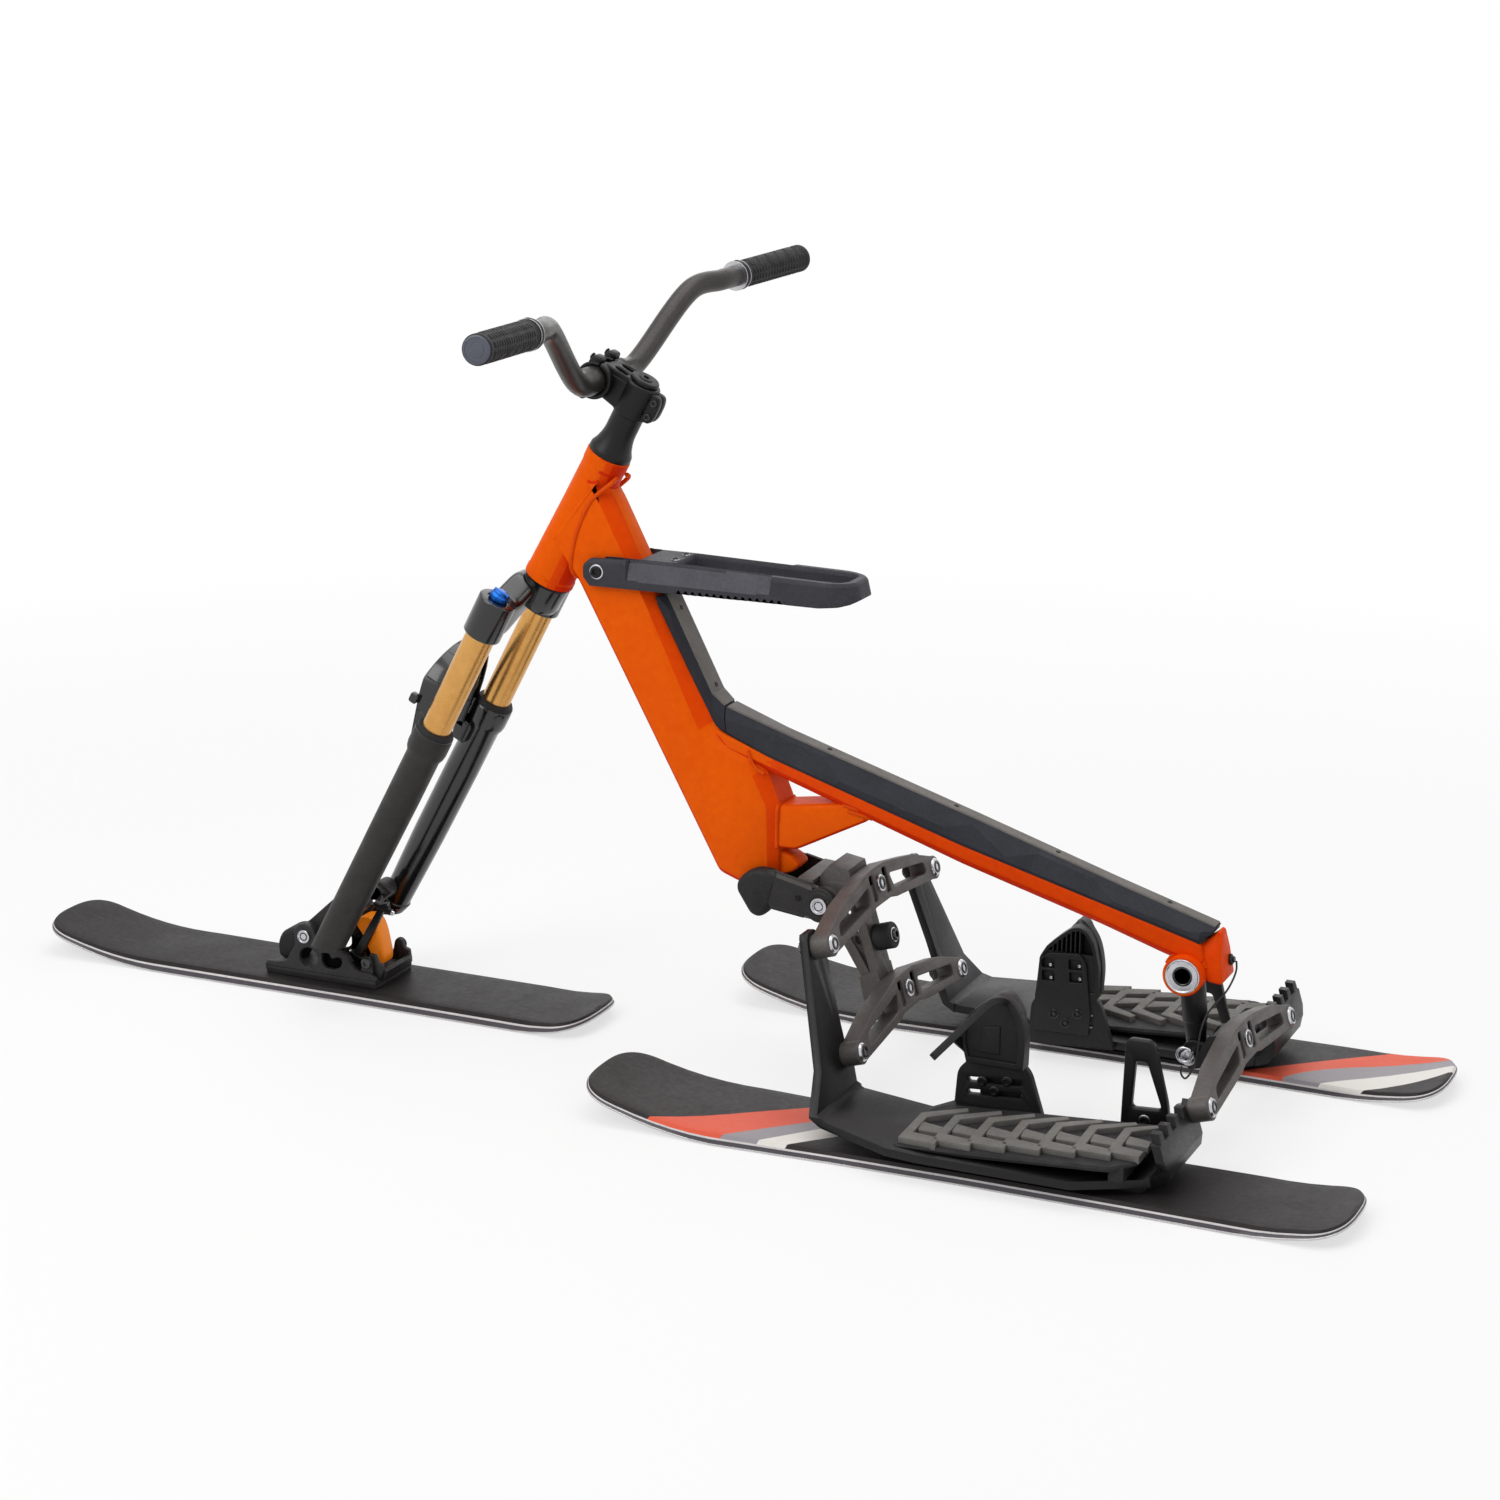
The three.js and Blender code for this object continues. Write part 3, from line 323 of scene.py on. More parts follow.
def turned_mesh(profile, centre, axis, sides=36, hexes=()):
    """A profile of (radius, height) turned about an axis. Rings whose number is in hexes are six-sided."""
    x, y, z = basis_for(axis)
    angle = np.linspace(0.0, 2 * np.pi, sides, endpoint=False)
    six = 1.0 / np.cos((angle + np.pi / 6) % (np.pi / 3) - np.pi / 6)
    circle_at = np.outer(np.cos(angle), x) + np.outer(np.sin(angle), y)
    rings = []
    for number, (radius, height) in enumerate(profile):
        reach = radius * (six if number in hexes else np.ones(sides))
        rings.append(np.asarray(centre, float) + circle_at * reach[:, None] + z * height)
    return skin(rings)


def cross_turned(profile, place, sides, side=1.0):
    """A profile turned about a line across the bike at (x, z), its heights measured outwards on one side."""
    return turned_mesh(profile, (place[0], 0, place[1]), (0, side, 0), sides)


def socket_head(centre, axis, radius, height):
    """A screw head with a rounded shoulder and a six-sided socket."""
    hole = radius * 0.5
    floor = height - height * 0.6
    shoulder = min(radius * 0.18, height * 0.4)
    profile = [(radius, 0.0), (radius, height - shoulder), (radius - shoulder * 0.3, height - shoulder * 0.3),
               (radius - shoulder, height), (hole * 1.3, height), (hole, height - 0.3), (hole, floor),
               (0.02, floor - 0.2)]
    return turned_mesh(profile, centre, axis, hexes=(5, 6))


def nut_mesh(centre, axis, radius, height, bore):
    """A six-sided nut with its corners turned down."""
    profile = [(radius * 0.92, 0.0), (radius, height * 0.12), (radius, height * 0.86), (radius * 0.9, height),
               (bore, height), (bore * 0.98, height - 0.8)]
    return turned_mesh(profile, centre, axis, hexes=(1, 2))


# Shader node groups and finishes

def add_node(tree, kind, inputs=None, **settings):
    """A shader node with its settings and inputs; an input is a value or another node's socket."""
    made = tree.nodes.new("ShaderNode" + kind)
    for key, value in settings.items():
        setattr(made, key, value)
    for key, value in (inputs or {}).items():
        if isinstance(value, bpy.types.NodeSocket):
            tree.links.new(value, made.inputs[key])
        else:
            made.inputs[key].default_value = value
    return made


def calculate(tree, operation, *values):
    """The result of a Math node."""
    return add_node(tree, "Math", dict(enumerate(values)), operation=operation).outputs[0]


def noise(tree, place, scale, detail=2.0):
    """Values of a noise texture at a place."""
    return add_node(tree, "TexNoise", {"Vector": place, "Scale": scale, "Detail": detail}).outputs["Fac"]


def remap(tree, value, low, high, to_low=0.0, to_high=1.0):
    """A value from one range taken to another, and held at its ends."""
    return add_node(tree, "MapRange", {"Value": value, "From Min": low, "From Max": high, "To Min": to_low,
                                       "To Max": to_high}).outputs[0]


def blend(tree, share, first, second):
    """A colour between two."""
    return add_node(tree, "Mix", {"Factor": share, 6: first, 7: second}, data_type="RGBA").outputs[2]


def object_place(tree):
    """The place on the object itself, so that a pattern stays on its piece."""
    return add_node(tree, "TexCoord").outputs["Object"]


def new_group(name, inputs, outputs):
    """An empty shader group with named sockets, and its input and output nodes."""
    tree = bpy.data.node_groups.new(name, "ShaderNodeTree")
    for label, kind, value in inputs:
        socket = tree.interface.new_socket(label, in_out="INPUT", socket_type=kind)
        socket.default_value = value
    for label, kind in outputs:
        tree.interface.new_socket(label, in_out="OUTPUT", socket_type=kind)
    return tree, tree.nodes.new("NodeGroupInput"), tree.nodes.new("NodeGroupOutput")


FLOAT = "NodeSocketFloat"
COLOR = "NodeSocketColor"
VECTOR = "NodeSocketVector"


def uneven_group():
    """Slow and fine unevenness of a finish: a colour between two and a roughness between two."""
    tree, given, out = new_group("Uneven finish", [("Color", COLOR, (0.5, 0.5, 0.5, 1)),
                                                   ("Other", COLOR, (0.4, 0.4, 0.4, 1)),
                                                   ("Scale", FLOAT, 20.0), ("Smooth", FLOAT, 0.3),
                                                   ("Rough", FLOAT, 0.45)],
                                 [("Color", COLOR), ("Roughness", FLOAT)])
    place = object_place(tree)
    slow = noise(tree, place, given.outputs["Scale"], 4.0)
    fine = noise(tree, place, calculate(tree, "MULTIPLY", given.outputs["Scale"], 9.0), 3.0)
    spread = remap(tree, calculate(tree, "ADD", slow, fine), 0.7, 1.3)
    tree.links.new(blend(tree, spread, given.outputs["Color"], given.outputs["Other"]), out.inputs["Color"])
    gloss = remap(tree, spread, 0.0, 1.0, given.outputs["Smooth"], given.outputs["Rough"])
    tree.links.new(gloss, out.inputs["Roughness"])
    return tree


def grain_group():
    """Fine raised grain, as on moulded plastic, blasted metal or rubber, as a normal."""
    tree, given, out = new_group("Fine grain", [("Scale", FLOAT, 900.0), ("Depth", FLOAT, 0.05)],
                                 [("Normal", VECTOR)])
    grain = noise(tree, object_place(tree), given.outputs["Scale"])
    bump = add_node(tree, "Bump", {"Height": grain, "Strength": given.outputs["Depth"], "Distance": 0.001})
    tree.links.new(bump.outputs[0], out.inputs["Normal"])
    return tree


def scuff_group():
    """Thin pale scratches: the crests of a noise stretched along X, where a slow noise lets them through."""
    tree, given, out = new_group("Scuffs", [("Color", COLOR, (0.5, 0.5, 0.5, 1)),
                                            ("Scratch", COLOR, (0.7, 0.7, 0.7, 1)), ("Amount", FLOAT, 0.2)],
                                 [("Color", COLOR)])
    place = object_place(tree)
    stretch = add_node(tree, "Mapping", {"Vector": place, "Scale": (14.0, 260.0, 200.0),
                                         "Rotation": (0.0, 0.12, 0.2)})
    crest = remap(tree, noise(tree, stretch.outputs[0], 1.0), 0.66, 0.7)
    where = remap(tree, noise(tree, place, 12.0), 0.5, 0.62)
    share = calculate(tree, "MULTIPLY", calculate(tree, "MULTIPLY", crest, where), given.outputs["Amount"])
    tree.links.new(blend(tree, share, given.outputs["Color"], given.outputs["Scratch"]), out.inputs["Color"])
    return tree


def band_group():
    """One more colour beyond a curved line over the ski: x past start + slope d + curve d d, d from the ski's
    edge."""
    tree, given, out = new_group("Ski band", [("Color", COLOR, (0.5, 0.5, 0.5, 1)),
                                              ("Band", COLOR, (0.5, 0.5, 0.5, 1)), ("Edge", FLOAT, 0.0),
                                              ("Toward", FLOAT, 1.0), ("Start", FLOAT, 0.0),
                                              ("Slope", FLOAT, 1.0), ("Curve", FLOAT, 0.0)],
                                 [("Color", COLOR)])
    split = add_node(tree, "SeparateXYZ", {"Vector": object_place(tree)})
    off = calculate(tree, "SUBTRACT", split.outputs["Y"], given.outputs["Edge"])
    reach = calculate(tree, "MULTIPLY", off, given.outputs["Toward"])
    bend = calculate(tree, "MULTIPLY_ADD", reach, given.outputs["Curve"], given.outputs["Slope"])
    line = calculate(tree, "MULTIPLY_ADD", bend, reach, given.outputs["Start"])
    mask = remap(tree, calculate(tree, "SUBTRACT", split.outputs["X"], line), -0.0003, 0.0003)
    tree.links.new(blend(tree, mask, given.outputs["Color"], given.outputs["Band"]), out.inputs["Color"])
    return tree


UNEVEN = uneven_group()
GRAIN = grain_group()
SCUFF = scuff_group()
BAND = band_group()


def srgb(red, green, blue):
    """A colour given as on a screen, from 0 to 255, as the linear colour that shaders take."""
    share = np.array([red, green, blue]) / 255.0
    linear = np.where(share <= 0.04045, share / 12.92, ((share + 0.055) / 1.055) ** 2.4)
    return (*linear.tolist(), 1.0)


def finish(name, color, other, smooth, rough, metal=0.0, coat=0.0, scale=20.0, grain=(900.0, 0.05),
           scuffs=0.0, bands=(), specular=0.5):
    """A finish whose colour and gloss vary a little, with its own fine grain, scratches and bands."""
    material = bpy.data.materials.new(name)
    material.use_nodes = True
    tree = material.node_tree
    shader = tree.nodes["Principled BSDF"]
    uneven = add_node(tree, "Group", {"Color": srgb(*color), "Other": srgb(*other), "Scale": scale,
                                      "Smooth": smooth, "Rough": rough}, node_tree=UNEVEN)
    result = uneven.outputs["Color"]
    for band in bands:
        result = add_node(tree, "Group", {"Color": result, **band}, node_tree=BAND).outputs["Color"]
    if scuffs:
        pale = srgb(*[min(255, c + 70) for c in color])
        result = add_node(tree, "Group", {"Color": result, "Scratch": pale, "Amount": scuffs},
                          node_tree=SCUFF).outputs["Color"]
    tree.links.new(result, shader.inputs["Base Color"])
    tree.links.new(uneven.outputs["Roughness"], shader.inputs["Roughness"])
    raised = add_node(tree, "Group", {"Scale": grain[0], "Depth": grain[1]}, node_tree=GRAIN)
    tree.links.new(raised.outputs["Normal"], shader.inputs["Normal"])
    shader.inputs["Metallic"].default_value = metal
    shader.inputs["Specular IOR Level"].default_value = specular
    shader.inputs["Coat Weight"].default_value = coat
    shader.inputs["Coat Roughness"].default_value = 0.08
    return material


CORAL = srgb(232, 98, 72)
BAND_GREY = srgb(158, 153, 158)
BAND_WHITE = srgb(236, 232, 226)
SKI_DARK = (43, 40, 40)
SKI_DIM = (37, 34, 34)
SKI_EDGE = 277.0
SKI_INNER_EDGE = 136.0


def ski_bands(edge, toward, lines):
    """The stripe across a ski: three colours and the ski's own, each beyond its line, lengths in metres."""
    colors = (CORAL, BAND_GREY, BAND_WHITE, srgb(*SKI_DARK))
    return [{"Band": color, "Edge": edge * MM, "Toward": toward, "Start": (start + MID_LENGTH_SHIFT) * MM,
             "Slope": slope, "Curve": curve / MM} for color, (start, slope, curve) in zip(colors, lines)]


LEFT_BANDS = ski_bands(-SKI_EDGE, 1.0, [(-168, 1.33, 0), (-77, 1.01, 0), (-37, 0.86, 0), (-7, 0.96, 0)])
RIGHT_BANDS = ski_bands(SKI_INNER_EDGE, 1.0, [(367, 1.13, 0), (418, 0.43, 0.0085), (458, 1.03, 0.0035),
                                              (505, 1.58, -0.0058)])

# The second and third orange paints are painted shade: the frame's one orange made deeper for the rear chamfers
# and the beam, and deep red for faces that look down.
PAINT, PAINT_HALF_SHADE, PAINT_SHADE = [finish(name, color, other, 0.4, 0.5, scale=14, grain=(1600, 0.05),
                                       specular=0.06) for name, color, other in (("orange_paint",
                                                                                  (243, 97, 0), (236, 88, 0)),
                                                                                 ("orange_paint_painted_half_shade",
                                                                                  (238, 76, 0), (230, 68, 0)),
                                                                                 ("orange_paint_painted_shade",
                                                                                  (220, 50, 0),
                                                                                  (212, 44, 0)))]
WELD = finish("weld_bead", (232, 84, 0), (216, 72, 0), 0.4, 0.5, scale=60, grain=(700, 0.15), specular=0.1)
COVER = finish("cover_plastic", (35, 36, 44), (29, 30, 37), 0.52, 0.64, scale=30, grain=(1500, 0.18),
               scuffs=0.1, specular=0.25)
# A lighter copy of the handle plastic: painted light on the upward-facing facet along the handle's sides.
HANDLE_PAINTED_LIGHT = finish("handle_plastic_painted_light", (84, 83, 90), (74, 73, 80), 0.5, 0.62, scale=30,
                     grain=(1500, 0.2), specular=0.25)
COVER_BLACK = finish("handle_plastic", (58, 57, 64), (49, 48, 54), 0.5, 0.62, scale=30, grain=(1500, 0.2),
                     scuffs=0.1, specular=0.25)
STRIP = finish("cover_strip", (112, 107, 103), (100, 96, 92), 0.55, 0.68, scale=40, grain=(1500, 0.15),
               specular=0.25)
BLACK = finish("black_anodised", (17, 17, 18), (12, 12, 13), 0.34, 0.46, metal=0.1, scale=35,
               grain=(1800, 0.08), scuffs=0.1, specular=0.3)
BOLT = finish("dark_bolt", (70, 70, 73), (52, 52, 55), 0.2, 0.34, metal=0.8, scale=90, grain=(2200, 0.05))
CAST = finish("cast_grey", (94, 90, 87), (80, 77, 75), 0.42, 0.55, metal=0.2, scale=45, grain=(1400, 0.2),
              scuffs=0.12, specular=0.3)
CAST_DARK = finish("cast_dark", (48, 46, 46), (38, 37, 37), 0.42, 0.56, metal=0.15, scale=45,
                   grain=(1400, 0.2), scuffs=0.1, specular=0.28)
LEG = finish("fork_gloss_black", (18, 18, 20), (13, 13, 15), 0.16, 0.26, coat=0.35, scale=25,
             grain=(2200, 0.02))
# Near black for painted shadow: the shade inside the front mount behind its hooked opening.
PAINTED_SHADOW = finish("painted_shadow_inside", (8, 8, 9), (6, 6, 7), 0.7, 0.8, specular=0.05)
# A lighter grey copy of the fork's black: painted light on the near, left leg of the one casting.
LEG_PAINTED_LIGHT = finish("fork_painted_light_grey", (48, 46, 45), (40, 38, 37), 0.44, 0.56, scale=60, grain=(1500, 0.12),
                   specular=0.25)
BAR = finish("bar_grey", (56, 52, 50), (47, 44, 42), 0.3, 0.42, metal=0.4, scale=30, grain=(2000, 0.06))
GOLD = finish("gold_anodised", (216, 164, 94), (204, 150, 82), 0.24, 0.3, metal=0.9, scale=12,
              grain=(2400, 0.0))
STEEL = finish("steel", (205, 205, 208), (180, 180, 186), 0.16, 0.3, metal=1.0, scale=80, grain=(2400, 0.04))
RUBBER = finish("black_rubber", (32, 31, 33), (25, 24, 26), 0.6, 0.78, scale=60, grain=(1000, 0.3),
                specular=0.35)
TREAD = finish("tread_grey", (116, 114, 110), (101, 99, 95), 0.6, 0.75, scale=70, grain=(1100, 0.3),
               specular=0.3)
PLASTIC = finish("support_plastic", (28, 28, 30), (22, 22, 24), 0.42, 0.56, scale=40, grain=(1500, 0.16),
                 specular=0.3)
KNOB = finish("blue_anodised", (24, 104, 196), (16, 84, 170), 0.2, 0.3, metal=0.8, scale=60,
              grain=(2200, 0.05))
SPRING = finish("orange_rubber", (255, 152, 20), (255, 138, 12), 0.35, 0.5, scale=50, grain=(900, 0.12),
                specular=0.3)
# Painted light: a faint orange emission makes the spring's rubber glow, brighter than the lamps alone light it.
SPRING_SHADER = SPRING.node_tree.nodes["Principled BSDF"]
SPRING_SHADER.inputs["Emission Color"].default_value = srgb(255, 120, 10)
SPRING_SHADER.inputs["Emission Strength"].default_value = 0.16
SKI_TOP, SKI_LEFT, SKI_RIGHT = [finish(name, SKI_DARK, SKI_DIM, 0.4, 0.52, specular=0.16, scale=18,
                                       grain=(2200, 0.12), scuffs=0.1, bands=bands)
                                for name, bands in (("ski_top", ()), ("ski_top_left", LEFT_BANDS),
                                                    ("ski_top_right", RIGHT_BANDS))]
SKI_SIDE = finish("ski_sidewall", (74, 70, 76), (62, 58, 64), 0.4, 0.5, scale=30, grain=(1500, 0.1))
SKI_LINE = finish("ski_line", (226, 222, 222), (206, 202, 202), 0.3, 0.4, scale=40, grain=(1500, 0.06))
SKI_STEEL = finish("ski_steel_edge", (214, 212, 212), (186, 184, 184), 0.22, 0.34, metal=0.7, scale=90,
                   grain=(2400, 0.06))
SKI_BASE = finish("ski_base", (40, 38, 40), (32, 30, 32), 0.3, 0.45, scale=40, grain=(1500, 0.08))
CORD = finish("black_cord", (24, 24, 25), (18, 18, 19), 0.5, 0.65, scale=200, grain=(2500, 0.3))
END_CAP = finish("grip_end", (84, 88, 100), (70, 74, 86), 0.35, 0.5, scale=60, grain=(1300, 0.12))
RED = finish("red_anodised", (190, 40, 36), (160, 28, 26), 0.25, 0.35, metal=0.6, scale=60,
             grain=(2000, 0.05))


# Camera, light and floor

def rotation_from(azimuth, elevation, roll):
    """A camera's turn from the compass angle and height that it looks from, and its roll, in degrees."""
    a, e, r = (math.radians(v) for v in (azimuth, elevation, roll))
    back = Vector((math.sin(a) * math.cos(e), -math.cos(a) * math.cos(e), math.sin(e)))
    right = Vector((math.cos(a), math.sin(a), 0.0))
    up = back.cross(right)
    turned_right = right * math.cos(r) + up * math.sin(r)
    turned_up = up * math.cos(r) - right * math.sin(r)
    return Matrix((turned_right, turned_up, back)).transposed()


def add_camera():
    """The camera, set where the photograph was taken from."""
    data = bpy.data.cameras.new("camera")
    data.lens = CAMERA_LENS
    data.sensor_width = SENSOR_WIDTH
    camera = bpy.data.objects.new("camera", data)
    turn = rotation_from(CAMERA_AZIMUTH, CAMERA_ELEVATION, CAMERA_ROLL)
    camera.matrix_world = Matrix.Translation(CAMERA_PLACE) @ turn.to_4x4()
    bpy.context.scene.collection.objects.link(camera)
    bpy.context.scene.camera = camera


def add_lamp(name, place, target, size, power):
    """A rectangular lamp at a place, turned toward a target."""
    data = bpy.data.lights.new(name, "AREA")
    data.shape = "RECTANGLE"
    data.size, data.size_y = size
    data.energy = power
    lamp = bpy.data.objects.new(name, data)
    lamp.location = place
    lamp.rotation_euler = (Vector(target) - Vector(place)).to_track_quat("-Z", "Y").to_euler()
    bpy.context.scene.collection.objects.link(lamp)


def seen_directly(tree):
    """1 for what the camera, a mirror or glass sees of a surface, 0 for the light that it gives to the
    rest."""
    rays = add_node(tree, "LightPath").outputs
    seen = calculate(tree, "MAXIMUM", rays["Is Camera Ray"], rays["Is Glossy Ray"])
    return calculate(tree, "MAXIMUM", seen, rays["Is Transmission Ray"])


def add_world():
    """Soft light from all sides, which the camera, mirrors and glass see as plain white."""
    world = bpy.data.worlds.new("studio")
    world.use_nodes = True
    bpy.context.scene.world = world
    tree = world.node_tree
    tree.nodes.clear()
    lit, shown = [add_node(tree, "Background", {"Color": WHITE, "Strength": strength}).outputs[0]
                  for strength in (WORLD_LIGHT, WHITE_STRENGTH)]
    mixed = add_node(tree, "MixShader", {0: seen_directly(tree), 1: lit, 2: shown})
    out = add_node(tree, "OutputWorld")
    tree.links.new(mixed.outputs[0], out.inputs["Surface"])


def add_floor():
    """A wide pale floor that fades into the white beyond it and keeps the object's shadow."""
    mesh = bpy.data.meshes.new("floor")
    corners = [(a * FLOOR_HALF, b * FLOOR_HALF, FLOOR_HEIGHT) for a, b in ((-1, -1), (1, -1), (1, 1),
                                                                           (-1, 1))]
    mesh.from_pydata(corners, [], [(0, 1, 2, 3)])
    floor = bpy.data.objects.new("floor", mesh)
    bpy.context.scene.collection.objects.link(floor)
    material = bpy.data.materials.new("pale_floor")
    material.use_nodes = True
    tree = material.node_tree
    shader = tree.nodes["Principled BSDF"]
    shader.inputs["Base Color"].default_value = (0.93, 0.93, 0.93, 1.0)
    shader.inputs["Roughness"].default_value = 0.7
    shader.inputs["Specular IOR Level"].default_value = 0.1
    reach = add_node(tree, "VectorMath", {0: object_place(tree)}, operation="LENGTH").outputs["Value"]
    fade = remap(tree, reach, *FADE, FLOOR_WHITE)
    white = add_node(tree, "Emission", {"Color": WHITE, "Strength": WHITE_STRENGTH}).outputs[0]
    share = calculate(tree, "MULTIPLY", fade, seen_directly(tree))
    mixed = add_node(tree, "MixShader", {0: share, 1: shader.outputs[0], 2: white})
    tree.links.new(mixed.outputs[0], tree.nodes["Material Output"].inputs["Surface"])
    mesh.materials.append(material)


def add_studio():
    """The camera, the world, the floor and four lamps."""
    bpy.context.scene.view_settings.view_transform = "Standard"
    add_camera()
    add_world()
    add_floor()
    middle = (0.0, 0.0, 0.35)
    add_lamp("key", (-1.2, -2.6, 2.9), middle, (2.4, 2.4), 60)
    add_lamp("top", (0.2, 0.3, 3.4), middle, (3.4, 2.6), 50)
    add_lamp("rear_side", (3.0, 0.4, 1.9), middle, (1.6, 2.2), 7)
    add_lamp("far_side", (-0.6, 3.0, 1.8), middle, (2.6, 1.8), 12)


# Skis

def ski_outline(tip, tail, nose, heel, widths):
    """Half a ski's plan: x and half width, from the tip to the tail.

    Each rounded end is a superellipse quarter, and the sides run smoothly through the waist."""
    turn = np.linspace(0.0, np.pi / 2, 22)
    waist = np.linspace(tip + nose, tail - heel, 34)[1:-1]
    width = np.interp(waist, *widths)
    blunt = 0.72
    front = np.stack([tip + nose * (1 - np.cos(turn) ** blunt), widths[1][0] * np.sin(turn) ** blunt], -1)
    back = np.stack([tail - heel * (1 - np.cos(turn) ** blunt), widths[1][-1] * np.sin(turn) ** blunt],
                    -1)[::-1]
    return np.concatenate([front, np.stack([waist, width], -1), back])


def ski_mesh(outline, flats, rises, thickness, centre):
    """A ski: rows across it along the outline, each up one edge, over the crowned top and down the other.

    The edge's rings are the outline moved inwards, and the whole is lifted by a square law at each end."""
    slope = np.gradient(outline, axis=0)
    slope /= np.linalg.norm(slope, axis=1, keepdims=True)
    inward = np.stack([slope[:, 1], -slope[:, 0]], -1)
    edge = [(0.0, 0.0), (0.0, 1.9), (0.5, 2.1), (1.7, 0.50), (1.9, 0.55), (2.3, 0.66), (2.6, 0.70),
            (4.2, 0.97), (6.0, 1.0)]
    tip, tail = outline[0, 0], outline[-1, 0]

    def lifted(x):
        """How far the ends rise, by the square of the way past the flat part, and how thick the ski is
        there."""
        ahead = np.clip((flats[0] - x) / (flats[0] - tip), 0, 1)
        behind = np.clip((x - flats[1]) / (tail - flats[1]), 0, 1)
        lift = rises[0] * ahead**2 + rises[1] * behind**2
        thick = thickness * (1 - 0.4 * np.maximum(ahead, behind))
        return lift, thick

    columns = []
    for number, (depth, height) in enumerate(edge):
        ring = outline + inward * depth
        ring[:, 1] = np.maximum(ring[:, 1], 0.0)
        lift, thick = lifted(ring[:, 0])
        z = lift + (height if number < 3 else height * thick)
        columns.append(np.stack([ring[:, 0], ring[:, 1], z], -1))
    inner = columns[-1]
    lift, thick = lifted(inner[:, 0])
    across = np.linspace(1.0, -1.0, 13)[1:-1]
    crown = 0.5
    top = [np.stack([inner[:, 0], inner[:, 1] * s, lift + thick + crown * (1 - s * s)], -1) for s in across]
    mirror = [column * (1.0, -1.0, 1.0) for column in columns[::-1]]
    rows = np.stack([*columns, *top, *mirror], 1) + (0.0, centre, 0.0)
    side_zones = [1, 1, 2, 3, 3, 0, 0, 0]
    zones = side_zones + [0] * (len(across) + 1) + side_zones[::-1] + [4]
    return rows.reshape(-1, 3), grid_faces(*rows.shape[:2]), zones * (len(outline) - 1)


def add_ski(name, node, body, top, riser=None, **shape):
    """A ski with its own top finish, and a steel edge, sidewall, pale line and base."""
    verts, faces, zones = ski_mesh(**shape)
    if riser:
        corners = [(150, riser - 37.5), (380, riser - 37.5), (380, riser + 37.5), (150, riser + 37.5)]
        verts, faces = merged((verts, faces), plate_mesh(round_corners(corners, 8), (12.0, 21.6), 1.2,
                                                         plane="xy"))
        zones += [0] * (len(faces) - len(zones))
    make(name, (verts, faces, zones), top, body, 50, (SKI_STEEL, SKI_SIDE, SKI_LINE, SKI_BASE),
         node)


def add_skis():
    """The front ski, and the two rear skis, which mirror each other but for their tops."""
    front = ski_outline(-1095, -350, 45, 45, ((-1050, -900, -650, -400), (63, 63, 61, 62)))
    add_ski("front_ski_shell", "front_ski", "front_ski", SKI_TOP, outline=front, flats=(-921, -441),
            rises=(34, 15), thickness=15, centre=0.0)
    widths = ((-200, -90, 60, 200, 360, 500, 560), (70, 75, 68, 65, 65, 67, 66))
    rear = ski_outline(-252, 595, 52, 45, widths)
    for name, side, top in (("left", -1, SKI_LEFT), ("right", 1, SKI_RIGHT)):
        add_ski(f"{name}_ski_shell", f"{name}_rear_ski", f"{name}_ski", top, riser=202.4 * side, outline=rear,
                flats=(-80, 480), rises=(35, 16), thickness=13, centre=202.4 * side)


# Round pieces on the steering axis

def steer_turned(profile, x=0.0, y=0.0, sides=56, hexes=()):
    """A profile turned about a line along the steering axis, heights measured up from the head's foot."""
    return turned_mesh(profile, steering((x, y, 0.0)), STEER_AXIS, sides, hexes)


def steer_plate(outline, span, edge=1.0, holes=(), plane="xz", steps=3):
    """A plate in the steering frame."""
    verts, faces = plate_mesh(outline, span, edge, holes, plane, steps)
    return steering(verts), faces


def lean_turned(profile, x, y, z, sides=40, hexes=()):
    """A profile turned about a line along the rocker pins."""
    return turned_mesh(profile, leaning((x, y, z)), LEAN_AXIS, sides, hexes)


def screw(name, centre, axis, radius, height, body, ring=STEEL, head=BLACK):
    """A socket screw: a bright washer ring under a dark head with a six-sided socket."""
    washer = turned_mesh([(radius * 0.6, -0.2), (radius * 1.22, -0.2), (radius * 1.22, 0.7),
                          (radius * 1.12, 1.0), (radius * 0.6, 1.0)], centre, axis)
    make(name, in_zones(washer, socket_head(centre, axis, radius, height)), ring, body, 35, (head,))


def add_fork_tubes():
    """On each leg a gold tube, its seal and spring ring, and the blue knob on the left one."""
    for name, side in SIDES.items():
        y = side * LEG_Y
        tube = steer_turned([(17.0, -300), (17.0, -28.4)], LEG_X, y, 72)
        make(f"{name}_gold_tube", tube, GOLD, "steering", 40, node=f"stanchion_{name}")
        seal = steer_turned([(17.2, -207.6), (22.6, -207.6), (22.6, -205.4), (20.6, -202.0), (17.2, -201.0)],
                            LEG_X, y, 72)
        make(f"{name}_wiper_seal", seal, RUBBER, "fork")
        ring = steer_turned([(22.4, -208.2), (23.2, -208.2), (23.2, -207.0), (22.4, -206.6)], LEG_X, y, 72)
        make(f"{name}_seal_spring", ring, BOLT, "fork")
    knob = steer_turned([(11.4, -22.6), (11.4, -17.5), (10.6, -16.4), (8.0, -15.4), (7.6, -13.6),
                         (6.4, -13.0)], LEG_X, -LEG_Y, 60)
    ridge = steering([(LEG_X - 9, -LEG_Y, -14.4), (LEG_X + 9, -LEG_Y, -14.4)])
    grip = band_mesh(np.linspace(ridge[0], ridge[1], 4), 4.0, 3.6, ACROSS, 1.2)
    stub = steer_turned([(4.0, -27), (4.0, -17)], LEG_X, -LEG_Y)
    make("blue_knob", merged(knob, grip, stub), KNOB, "knob", node="fork_knob")


